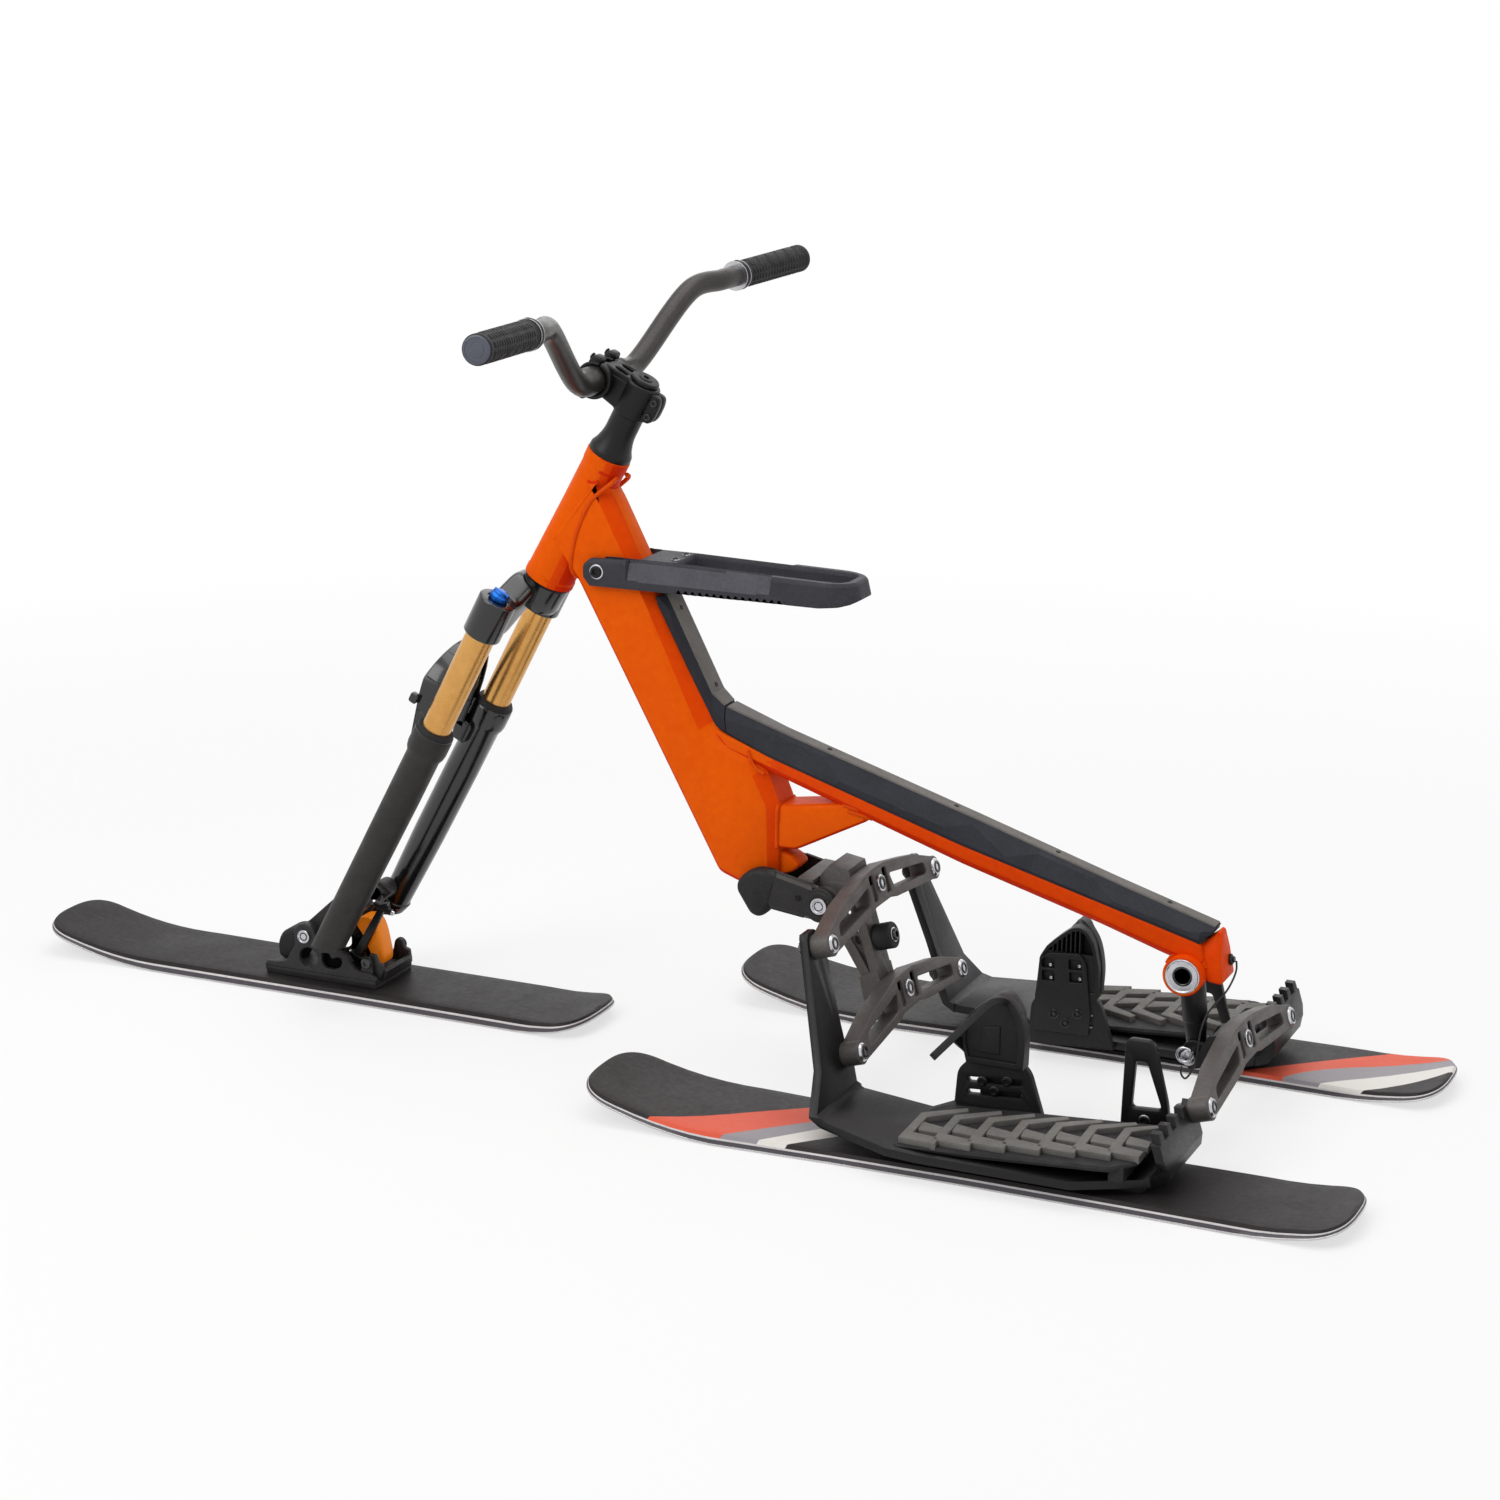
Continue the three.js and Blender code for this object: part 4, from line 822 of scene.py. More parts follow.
def rounded_cone(low, high, low_radius, high_radius, round_low, round_high):
    """The profile of a drum or cone whose two rims are rounded."""
    turn = np.radians(np.linspace(0, 90, 5))
    foot = np.stack([low_radius - round_low * (1 - np.sin(turn)), low + round_low * (1 - np.cos(turn))], -1)
    top = np.stack([high_radius - round_high * (1 - np.sin(turn)), high - round_high * (1 - np.cos(turn))],
                   -1)
    return np.concatenate([foot, top[::-1]]).tolist()


def spaced(points, count):
    """Evenly spaced points along a path of (y, z) points."""
    path = np.asarray(points, float)
    reach = np.concatenate([[0], np.cumsum(np.linalg.norm(np.diff(path, axis=0), axis=1))])
    spots = np.linspace(0, reach[-1], count)
    return np.stack([np.interp(spots, reach, path[:, 0]), np.interp(spots, reach, path[:, 1])], -1)


def add_fork_lowers():
    """Each leg is one turned profile with its collar; the arch is a band with two openings and a lattice."""
    shapes, legs = [], []
    for side in SIDES.values():
        foot = [(18.8, -560)] if side < 0 else rounded_cone(-531, -500, 15.0, 18.6, 3.0, 1.5)
        leg = [*foot, (19.4, -400), (20.0, -300), (20.0, -240), (22.6, -234), (23.6, -229), (23.6, -212),
               (23.0, -208.5), (21.5, -207.2)]
        verts, faces = turned_mesh(leg, (LEG_X, side * LEG_Y, 0), (0, 0, 1), 64)
        verts[:, 0] -= np.interp(verts[:, 2], (-525, -260), (4.0, 0.0))
        verts = steering(verts)
        low = np.maximum(LEG_CUT - verts[:, 2:], 0.0)
        legs.append((verts + low / STEER_AXIS[2] * STEER_AXIS, faces))
    turns = np.radians((0, 18, 36, 54, 72, 84))
    outer = [(61, -242), *[(61 * math.cos(t), -185 + 60 * math.sin(t)) for t in turns]]
    inner = [(44, -243), *[(44 * math.cos(t), -185 + 43 * math.sin(t)) for t in turns]]
    loop = round_corners(outer + [(-y, z) for y, z in outer[::-1]] + [(-y, z) for y, z in inner]
                         + inner[::-1], 9, 4)
    rims = [plate_mesh(loop, (-67.0, -63.0), 1.4, plane="yz")]
    for line, thin in ((outer, 0.955), (inner, 1.075)):
        skin = line + [(-y, z) for y, z in line[::-1]] + [(-y * thin, -200 + (z + 200) * thin)
                                                          for y, z in line]
        skin += [(y * thin, -200 + (z + 200) * thin) for y, z in line[::-1]]
        rims.append(plate_mesh(skin, (-65.0, -42.0), 0.5, plane="yz"))
    far_out, far_in = [spaced(line + [(-y, z) for y, z in line[::-1]], 16) for line in (outer, inner)]
    ribs = []
    for k in range(1, 14):
        ends = (far_out[k], far_in[k + 1]) if k % 2 else (far_in[k], far_out[k + 1])
        across = (ends[1] - ends[0])[::-1] * (-1, 1)
        across *= 0.9 / np.linalg.norm(across)
        strip = [ends[0] - across, ends[1] - across, ends[1] + across, ends[0] + across]
        ribs.append(plate_mesh(strip, (-64.0, -45.0), 0.3, plane="yz"))
    arch = merged(*rims, *ribs)
    verts = arch[0].copy()
    front = np.interp(verts[:, 2], (-240, -165, -120), (22.0, 3.0, 5.0))
    back = np.interp(verts[:, 2], (-240, -165, -120), (10.0, 1.0, 0.0))
    share = (verts[:, 0] + 42.0) / -25.0
    verts[:, 0] += front * share + back * (1 - share)
    shapes.append((steering(verts), arch[1]))
    for side in SIDES.values():
        y = (side * 44.0, side * 61.0)
        foot = round_corners([(-40, -262), (-22, -262), (-22, -236), (-38, -234), (-44, -240)], 4)
        shapes.append(steer_plate(foot, y, 3.0))
        shapes.append(steer_turned([(4.6, -229), (4.6, -207)], LEG_X - 21, side * 58.0, 24))
    shapes.append(steer_plate(round_corners([(-66, -196), (-56, -196), (-56, -184), (-66, -184)], 3),
                              (-66, -59)))
    # The left leg takes the lighter grey as painted light; the rest of the casting is gloss black.
    make("fork_casting", in_zones(merged(legs[1], *shapes), legs[0]), LEG, "fork", 40,
         (LEG_PAINTED_LIGHT,), node="fork_lowers")
    way = np.array([0.731, -0.635, 0.245])
    place = steering((LEG_X - 3.8, LEG_Y, -514)) + way * 17.2
    foot = turned_mesh([(4.4, -3.0), (4.4, 1.0), (3.8, 1.6), (2.0, 1.6), (1.6, 0.6), (0.3, 0.6)], place, way,
                       32)
    make("right_foot_screw", foot, RED, "fork")


def add_crown():
    """The crown's arms are a thick plate across the bike, and its clamps and neck are turned."""
    arms = [(-71, -25), (-52, -25), (-24, -6), (24, -6), (52, -25), (71, -25), (71, -66), (52, -66),
            (20, -34), (-20, -34), (-52, -66), (-71, -66)]
    shapes = [steer_plate(round_corners(arms, 10, 5), (-33.5, 1.5), 7.0, plane="yz", steps=5)]
    for side in SIDES.values():
        clamp = [*rounded_cone(-71, -23, 22, 22, 1.6, 2.4), (13.5, -23.0), (13.2, -24.4), (11.9, -24.4)]
        shapes.append(steer_turned(clamp, LEG_X, side * LEG_Y, 64))
    shapes.append(steer_turned([(22, -36), (25, -30), (25.6, -12), (26.6, -5), (26.6, -3.2), (14.4, -3.2)]))
    shapes.append(steer_turned([(14.3, -8), (14.3, 257)]))
    make("crown", merged(*shapes), LEG, "steering", 40, node="fork_crown")
    cap = steer_turned([(12.6, -23.0), (12.6, -20.6), (11.4, -19.8), (5.0, -19.8), (4.6, -21.2),
                        (0.6, -21.2)], LEG_X, LEG_Y, 48, hexes=(4, 5))
    make("right_air_cap", cap, BLACK, "steering")


def add_headset():
    """The lower cup, and the upper cup with the tall cone and spacers above it."""
    low = steer_turned([(14.8, -2.4), (27.4, -2.4), (27.8, -1.8), (27.8, -0.8), (27.2, -0.4), (14.8, -0.4)])
    make("lower_cup", low, BLACK, "frame", node="headset_lower")
    high = steer_turned([(14.8, 160), (16.5, 160), (16.5, 167.4), (24.4, 167.4), (24.8, 168.2), (24.4, 173.0),
                         (23.2, 175.4), (21.0, 180.0), (18.8, 188.0), (17.8, 194.0), (17.6, 198),
                         (17.6, 219.2), (17.2, 219.6), (14.8, 219.6)])
    make("upper_cup_and_spacers", high, BLACK, "frame", node="headset_upper")


def grip_line(side, along):
    """Points on a grip's axis, from its inner end outwards."""
    start = np.array([-300.0, 262.0, 843.0])
    way = np.array([17.0, 135.5, 5.0])
    way /= np.linalg.norm(way)
    return (start + np.asarray(along, float)[..., None] * way) * (1.0, side, 1.0)


def grip_mesh(side):
    """Rings along the grip. The radius rises in blocks, where a wave along it and a wave round it are both
    high, and stays plain on two flat panels."""
    along = np.linspace(0.5, 136.2, 190)
    turn = np.linspace(0, 2 * np.pi, 96, endpoint=False)[None]
    s = along[:, None]
    block = np.clip(3.5 * np.cos(2 * np.pi * s / 6.4) + 1.6, 0, 1) * np.clip(4 * np.cos(10 * turn) + 2.2, 0,
                                                                             1)
    panel = np.clip(6 * (np.abs(np.cos(turn - 0.5)) - 0.72), 0, 1)
    panel = panel * np.clip((s - 14) / 3, 0, 1) * np.clip((122 - s) / 3, 0, 1)
    waves = np.clip(3 * np.cos(2 * np.pi * s / 21 + 3 * np.sin(turn)) + 1.6, 0, 1)
    rise = block * (1 - panel) + waves * panel
    rise *= np.clip((s - 7) / 2, 0, 1) * np.clip((128 - s) / 2, 0, 1)
    ends = np.clip((s - 7) / -4, 0, 1) * 0.9 + np.clip((s - 128) / 2, 0, 1) * 0.9
    radius = 15.2 + 1.1 * rise + ends - 1.2 * np.clip((s - 135) / 1.2, 0, 1) ** 2
    axis = grip_line(side, (0.0, 1.0))
    x, y, _ = basis_for(axis[1] - axis[0])
    ring = np.cos(turn)[..., None] * x + np.sin(turn)[..., None] * y
    return skin(grip_line(side, along)[:, None] + radius[..., None] * ring)


def add_grips():
    """On each side the rubber grip, its lock collar with two rings and a screw, and the end cap."""
    for name, side in SIDES.items():
        make(f"{name}_grip_rubber", grip_mesh(side), RUBBER, "steering", 45,
             node=f"grip_{name}")
        ends = grip_line(side, (0.0, 1.0))
        axis = ends[1] - ends[0]
        collar = turned_mesh([(12.7, -9), (16.4, -9), (17.0, -8.4), (17.0, -5.6), (16.2, -5.2), (16.2, -4.0),
                              (17.0, -3.6), (17.0, -0.6), (16.4, 0), (12.7, 0)], ends[0], axis, 64)
        make(f"{name}_lock_collar", collar, BLACK, "steering", node=f"grip_collar_{name}")
        rings = [turned_mesh([(16.3, h), (17.3, h), (17.3, h + 0.9), (16.3, h + 0.9)], ends[0], axis, 64)
                 for h in (-9.2, -1.0)]
        make(f"{name}_collar_rings", merged(*rings), STEEL, "steering")
        down = np.cross(axis, (1.0, 0.0, 0.0)) * side
        screw(f"{name}_collar_screw", ends[0] - axis * 4.6 - down * 15.2, -down, 2.6, 2.6, "steering")
        cap = turned_mesh([(14.6, 135.8), (14.8, 136.5), (14.2, 137.0), (12.6, 137.2), (12.4, 136.7),
                           (8.0, 136.7), (7.7, 137.1), (0.4, 137.1)], ends[0], axis, 56)
        make(f"{name}_end_cap", cap, END_CAP, "steering")


def bar_path(side):
    """The bar's bent half: a smooth curve through the clamp, the two bends and the grip's start."""
    clamp = steering((-46.0, 0.0, 239.0))
    points = [clamp, clamp + (0, 30 * side, 0), (-341, 66 * side, 761.5), (-319, 178 * side, 837),
              grip_line(side, -40.0), grip_line(side, -12.0), grip_line(side, 60.0), grip_line(side, 131.0)]
    return smooth_path(points, 120)


def add_bar():
    """Each half is a tube along the bent path, thick at the clamp and thinner past it."""
    halves = []
    for side in SIDES.values():
        path = bar_path(side)
        reach = np.abs(path[:, 1])
        radius = np.interp(reach, (40, 66), (15.9, 12.2))
        halves.append(tube_mesh(path, radius, 48, up=(1.0, 0.0, 0.2)))
    make("bar_tube", merged(*halves), BAR, "steering", 50, node="handlebar")


# Main frame

def frame_tube(corners, half, round_edge, rear=(), sharp=()):
    """A box tube: corners in x and z, its edges rounded, chamfered where a corner's number is in rear or
    sharp.

    A rear chamfer reaches its depth in from the edge over the last stretch of the half width."""
    steps = 3
    radii = [6.0] * len(corners)
    loop = round_corners(corners, radii, steps)
    if area(loop) < 0:
        loop, corners = loop[::-1], corners[::-1]
        rear = {len(corners) - 1 - k: v for k, v in dict(rear).items()}
        sharp = {len(corners) - 1 - k for k in sharp}
    rear, count = dict(rear), len(corners)
    out = np.array([0.0, 0.45, 0.6, 0.72, 0.82, 0.9, 0.95, 0.98, 1.0]) * half
    levels = []
    for y in out:
        amount = np.full(count, round_edge - math.sqrt(max(round_edge**2 - max(y - half + round_edge, 0) ** 2,
                                                           0)))
        for k in sharp:
            amount[k] = max(0.0, y - half + 1.5)
        for k, (start, depth) in rear.items():
            amount[k] = depth * max(0.0, y - start) / (half - start)
        levels.append(np.repeat(amount, steps + 1))
    heights = np.concatenate([-out[:0:-1], out])
    return layered_mesh(loop, heights, levels[:0:-1] + levels)


def weld_bead(points, radius=2.6):
    """A bead along a path whose radius swells at every ripple."""
    path = smooth_path(points, 26 * (len(points) - 1))
    reach = np.concatenate([[0], np.cumsum(np.linalg.norm(np.diff(path, axis=0), axis=1))])
    swell = radius * (0.86 + 0.2 * np.abs(np.sin(np.pi * reach / 3.4)))
    swell[[0, -1]] *= 0.4
    return tube_mesh(path, swell, 10, up=(0.3, 1.0, 0.2))


def by_slope(piece, choose):
    """Sets each face's material by a rule on its normal and its middle, both as rows of x, y and z."""
    polygons = piece.data.polygons
    normals, middles = np.empty(len(polygons) * 3), np.empty(len(polygons) * 3)
    polygons.foreach_get("normal", normals)
    polygons.foreach_get("center", middles)
    middles = middles.reshape(-1, 3).T / MM - np.array([[MID_LENGTH_SHIFT], [0.0], [0.0]])
    polygons.foreach_set("material_index", choose(normals.reshape(-1, 3).T, middles).astype(np.int32))


def painted_shade_zone(normal, middle):
    """Painted shade: 0 for plain paint, 1 for the deeper orange on the rear chamfers and along the beam, 2 for
    the deep red on the faces that look down.
    """
    x, y, z = normal
    chamfer = (x > 0.35) & (np.abs(y) > 0.3) & (z < 0.75)
    beam = (middle[0] > -128) & (middle[2] > 292 - 0.33 * middle[0])
    return np.where(z < -0.3, 2, (chamfer | beam).astype(int))


def add_frame():
    """Three box tubes, the head tube, the tail block and the strut's shell, and beads where they're
    welded."""
    down = [(-402, 578), (-366, 533), (-192, 216), (-165, 206), (-122, 219), (-119, 301), (-134, 337),
            (-150, 360), (-186, 376), (-198, 382.4), (-269, 518), (-323, 625), (-345, 660)]
    cover_edge = (19.6, 18.0)
    shapes = [frame_tube(down, 27.0, rear={4: (19.6, 10), 5: (19.6, 14), 6: (19.6, 16), 7: cover_edge,
                                           8: cover_edge, 9: cover_edge, 10: (15, 12), 11: (14, 13),
                                           12: (14, 13)}, round_edge=9.0)]
    beam = [(-197.7, 382.2), (-185.5, 375.6), (-132.4, 356.5), (95, 285), (255, 241.5), (367, 211),
            (372, 190), (350, 186), (327, 192), (256, 215), (96, 261), (-19, 299), (-134, 337), (-190, 355)]
    shapes.append(frame_tube(beam, 25.0, sharp=(0, 1, 2, 3, 4, 5, 6), round_edge=13.0))
    brace = [(-130, 300), (-19.6, 316.5), (-12.6, 297.5), (-99.7, 252.5), (-130, 252)]
    shapes.append(frame_tube(brace, 22.0, round_edge=5.0))
    lug = round_corners([(-130, 216), (-106, 224), (-97, 233), (-106, 242), (-130, 250)], 5)
    shapes.append(plate_mesh(lug, (-14, 14), 3.0))
    shapes.append(steer_turned([(27.0, 0), (29.0, 0.6), (29.0, 7), (28.2, 9), (25.6, 96), (24.6, 150),
                                (25.4, 154), (25.4, 166), (24.6, 167)], sides=96))
    tail = round_corners([(306, 224), (367, 211), (378, 219.5), (382, 224), (385, 222), (389, 190),
                          (393, 168), (374, 170), (369, 181), (356, 195), (320, 198)],
                         [3, 2, 2, 2, 3, 10, 6, 4, 6, 3, 3])
    block = plate_mesh(tail, (-25, 25), 4.0)
    width = np.interp(block[0][:, 2], (150, 180, 199, 222, 245), (25, 23, 20, 9, 8)) / 25
    shapes.append((block[0] * np.stack([np.ones_like(width), width, np.ones_like(width)], -1), block[1]))
    x, z = SHELL
    for side in SIDES.values():
        ring = [(15.0, 14.6), (21.4, 14.6), (22.0, 15.2), (22.0, 34.6), (21.6, 35.6), (20.6, 36.2),
                (19.2, 36.2), (19.0, 35.0), (18.6, 35.0)]
        shapes.append(cross_turned(ring, (x, z), 72, side=side))
    roof = np.concatenate([arc(SHELL, 22.0, 4, 146, 22), arc(SHELL, 17.6, 146, 4, 22)])
    shapes.append(plate_mesh(roof, (-15, 15), 0.4))
    # The frame's faces get painted shade chosen by their slope and place.
    tubes = make("frame_tubes", merged(*shapes), PAINT, "frame", 32, (PAINT_HALF_SHADE, PAINT_SHADE),
                 "main_frame")
    by_slope(tubes, painted_shade_zone)
    beads = []
    for side in SIDES.values():
        y = 26.6 * side
        beads.append(weld_bead([(-322, 12 * side, 650), (-325, 22 * side, 645), (-347, y, 625),
                                (-362, y, 596), (-370, y, 570), (-373, y * 0.96, 548), (-372, 16 * side, 536),
                                (-371, 0, 534)]))
        y = 25.4 * side
        beads.append(weld_bead([(-156, y, 362), (-153, y, 352), (-146, y, 342), (-136, y, 337)], 2.2))
        y = 22.2 * side
        beads.append(weld_bead([(-121, y * 0.6, 302), (-121, y, 300), (-122, y, 276), (-122, y, 253)], 2.4))
        beads.append(weld_bead([(-38, y, 306), (-22, y, 303), (-10, y * 0.8, 299)], 2.2))
        beads.append(weld_bead([(-44, y, 312), (-26, y, 309), (-17, y * 0.8, 304)], 1.8))
        ring = [(x + 23.2 * math.cos(a), 22.0 * side, z + 23.2 * math.sin(a))
                for a in np.linspace(0.35, 2.8, 9)]
        beads.append(weld_bead(ring, 1.8))
    make("weld_beads", merged(*beads), WELD, "frame", 60)


def add_shell_bearing():
    """In each end of the strut shell: a silver ring, a dark ball race, a sleeve and a deep hole."""
    x, z = SHELL
    rings, races, sleeves = [], [], []
    for side in SIDES.values():
        way = (0, side, 0)
        rings.append(turned_mesh([(16.6, 33.0), (18.9, 33.0), (18.9, 36.3), (18.4, 36.8), (17.8, 36.8),
                                  (17.4, 36.2), (16.6, 35.6)], (x, 0, z), way, 72))
        races.append(turned_mesh([(8.6, 32.0), (17.0, 32.0), (17.0, 35.4), (14.2, 35.6), (13.4, 34.4),
                                  (11.6, 34.4), (10.9, 35.8), (9.4, 36.2), (8.6, 35.6)], (x, 0, z), way, 72))
        sleeves.append(turned_mesh([(8.5, 30.0), (9.2, 30.0), (9.2, 35.2), (8.5, 35.2), (7.6, 34.0),
                                    (7.4, 26.0), (0.4, 26.0)], (x, 0, z), way, 48))
    bar = cross_turned([(8.0, -27), (8.0, 27)], (x, z), 40)
    whole = in_zones(merged(*rings), merged(*races, *sleeves, bar))
    make("strut_bearing", whole, STEEL, "frame", 30, (LEG,), node="strut_axle")


# Covers on the frame

COVER_STATIONS = [((-271, 519), 20.4, (-260, 525), 15.0), ((-197.7, 382.2), 20.4, (-205, 418), 15.0),
                  ((-185.5, 375.6), 20.8, (-190, 405), 13.0), ((-132.4, 356.5), 24.6, (-124, 382), 10.0),
                  ((95, 285), 24.6, (103, 312.5), 9.0), ((255, 241.5), 24.6, (261, 262.5), 9.0),
                  ((364, 212), 24.6, (366, 230.7), 9.0), ((377, 219), 13.0, (379, 226.7), 9.0)]


def cover_rows(stations, places):
    """Foot and strip edge of a cover at places along it, where place k is station k."""
    table = np.array([[*foot, half, *strip, strip_half] for foot, half, strip, strip_half in stations], float)
    return np.stack([np.interp(places, np.arange(len(stations)), table[:, c]) for c in range(6)], -1)


def cover_mesh(stations, places, crease):
    """A cover: each section runs from foot to foot over a crease and the strip's edge.

    The crease stands at its own share of the side's height and a little proud, so the sides break into
    facets."""
    row = cover_rows(stations, places)
    foot = np.stack([row[:, 0], row[:, 2], row[:, 1] + 2.0], -1)
    top = np.stack([row[:, 3], row[:, 5], row[:, 4]], -1)
    share = np.asarray(crease, float)[:, None]
    fold = foot * (1 - share) + top * share
    fold += np.stack([np.zeros(len(row)), np.full(len(row), 3.2), np.full(len(row), 0.8)], -1)
    lip = foot + (0.0, 0.2, 1.6)
    flip = np.array([1.0, -1.0, 1.0])
    rings = np.stack([foot * flip, lip * flip, fold * flip, top * flip, top, fold, lip, foot], 1)
    return skin(rings)


def strip_mesh(stations, places):
    """The strip along a cover's top: a flat band with broken edges, a little narrower than the top."""
    row = cover_rows(stations, places)
    along = np.gradient(row[:, 3:5], axis=0)
    along /= np.linalg.norm(along, axis=1, keepdims=True)
    up = np.stack([-along[:, 1], along[:, 0]], -1)
    half = row[:, 5] - 0.2
    edge = ((half, -2.0), (half, 0.5), (half - 0.8, 1.9))
    columns = []
    for sign, order in ((-1, edge), (1, edge[::-1])):
        for width, height in order:
            place = row[:, 3:5] + up * height
            columns.append(np.stack([place[:, 0], sign * width, place[:, 1]], -1))
    return skin(np.stack(columns, 1))


def gap_shadow_mesh(stations, places):
    """A dark rubber strip along the gap between a cover and the frame: painted shadow for the shade in that
    gap.
    """
    row = cover_rows(stations, places)
    half = row[:, 2] - 1.2
    low, high = row[:, 1] - 2.0, row[:, 1] + 3.4
    corners = [(-half, low), (-half, high), (half, high), (half, low)]
    return skin(np.stack([np.stack([row[:, 0], y, z], -1) for y, z in corners], 1))


def add_covers():
    """On each cover a body, a strip along its top and a dark strip under it as painted shadow in the gap, and
    then the screws of both.
    """
    upper, lower = COVER_STATIONS[:3], COVER_STATIONS[2:]
    tube_places = [0.0, 0.14, 0.3, 0.72, 1.0, 1.5, 2.0]
    body = cover_mesh(upper, tube_places, [0.3, 0.75, 0.3, 0.55, 0.5, 0.5, 0.5])
    make("down_tube_cover", body, COVER, "frame", 6, node="downtube_cover")
    make("down_tube_strip", strip_mesh(upper, [0.0, 0.5, 1.0, 1.5, 1.96]), STRIP, "frame",
         20)
    make("down_tube_gap_shadow", gap_shadow_mesh(upper, [0.01, 0.5, 1.0, 1.5, 2.0]), RUBBER, "frame", 20)
    beam_places = [0.02, 0.9, 1.0, 1.25, 1.36, 1.9, 2.02, 2.32, 2.5, 2.9, 3.1, 3.9, 4.0, 4.96]
    crease = [0.5, 0.8, 0.86, 0.84, 0.24, 0.3, 0.8, 0.22, 0.8, 0.82, 0.25, 0.3, 0.5, 0.5]
    body = cover_mesh(lower, beam_places, crease)
    make("beam_top_cover", body, COVER, "frame", 6, node="beam_cover")
    make("beam_strip", strip_mesh(lower, [0.04, 0.5, 1.0, 2.0, 3.0, 4.0, 4.9]), STRIP, "frame",
         20)
    make("beam_gap_shadow", gap_shadow_mesh(lower, [0.0, 1.0, 2.0, 3.0, 4.0, 4.5]), RUBBER, "frame", 20)
    screws = [(upper, 0.16), (upper, 0.94), (lower, 1.24), (lower, 1.9), (lower, 2.6), (lower, 3.6)]
    heads = []
    for stations, place in screws:
        row = cover_rows(stations, [place, place + 0.02])
        step = row[1, 3:5] - row[0, 3:5]
        step /= np.linalg.norm(step)
        up = (-step[1], 0.0, step[0])
        spot = np.array([row[0, 3], 0.0, row[0, 4]]) + np.array(up) * 1.5
        heads.append(socket_head(spot, up, 2.9, 1.1))
    make("cover_screws", merged(*heads), BLACK, "frame", 35)


# Carry handle

def handle_bottom(x):
    """The rail's lower edge: level, rising at the rear."""
    return np.interp(x, (-353, -345, -100, -70, -50, -40, -33), (541, 531.5, 533, 533, 535, 538, 542))


def finger_scallops(x):
    """How far the rounded notches for the fingers cut into the lower edge."""
    comb = np.clip((x + 240) / 2, 0, 1) * np.clip((-104 - x) / 2, 0, 1)
    return comb * 4.4 * np.sin(np.pi * (x + 240) / 8.6) ** 2


def handle_top(x):
    """The rail's upper edge: it rises behind its front end, runs level and falls slowly toward the rear."""
    return np.interp(x, (-353, -345, -290, -245, -33), (555, 562, 565, 565, 560.5))


def dense(points, step=2.0):
    """An outline with points put in so that none is more than a step from the next."""
    points = np.asarray(points, float)
    after = np.roll(points, -1, axis=0)
    pieces = []
    for a, b in zip(points, after):
        count = max(1, int(np.ceil(np.linalg.norm(b - a) / step)))
        pieces.append(a + (b - a) * np.linspace(0, 1, count, endpoint=False)[:, None])
    return np.concatenate(pieces)


def handle_painted_light_zone(normal, middle):
    """Painted light: 1 on the facet that slopes in along each side of the handle, which faces up and gets the
    lighter plastic, 0 elsewhere.
    """
    _, y, z = normal
    facet = (z > 0.2) & (z < 0.8) & (np.abs(y) > 0.5) & (middle[0] > -303) & (middle[0] < -124)
    return (facet & (np.abs(middle[1]) > 30) & (middle[2] < 561)).astype(int)


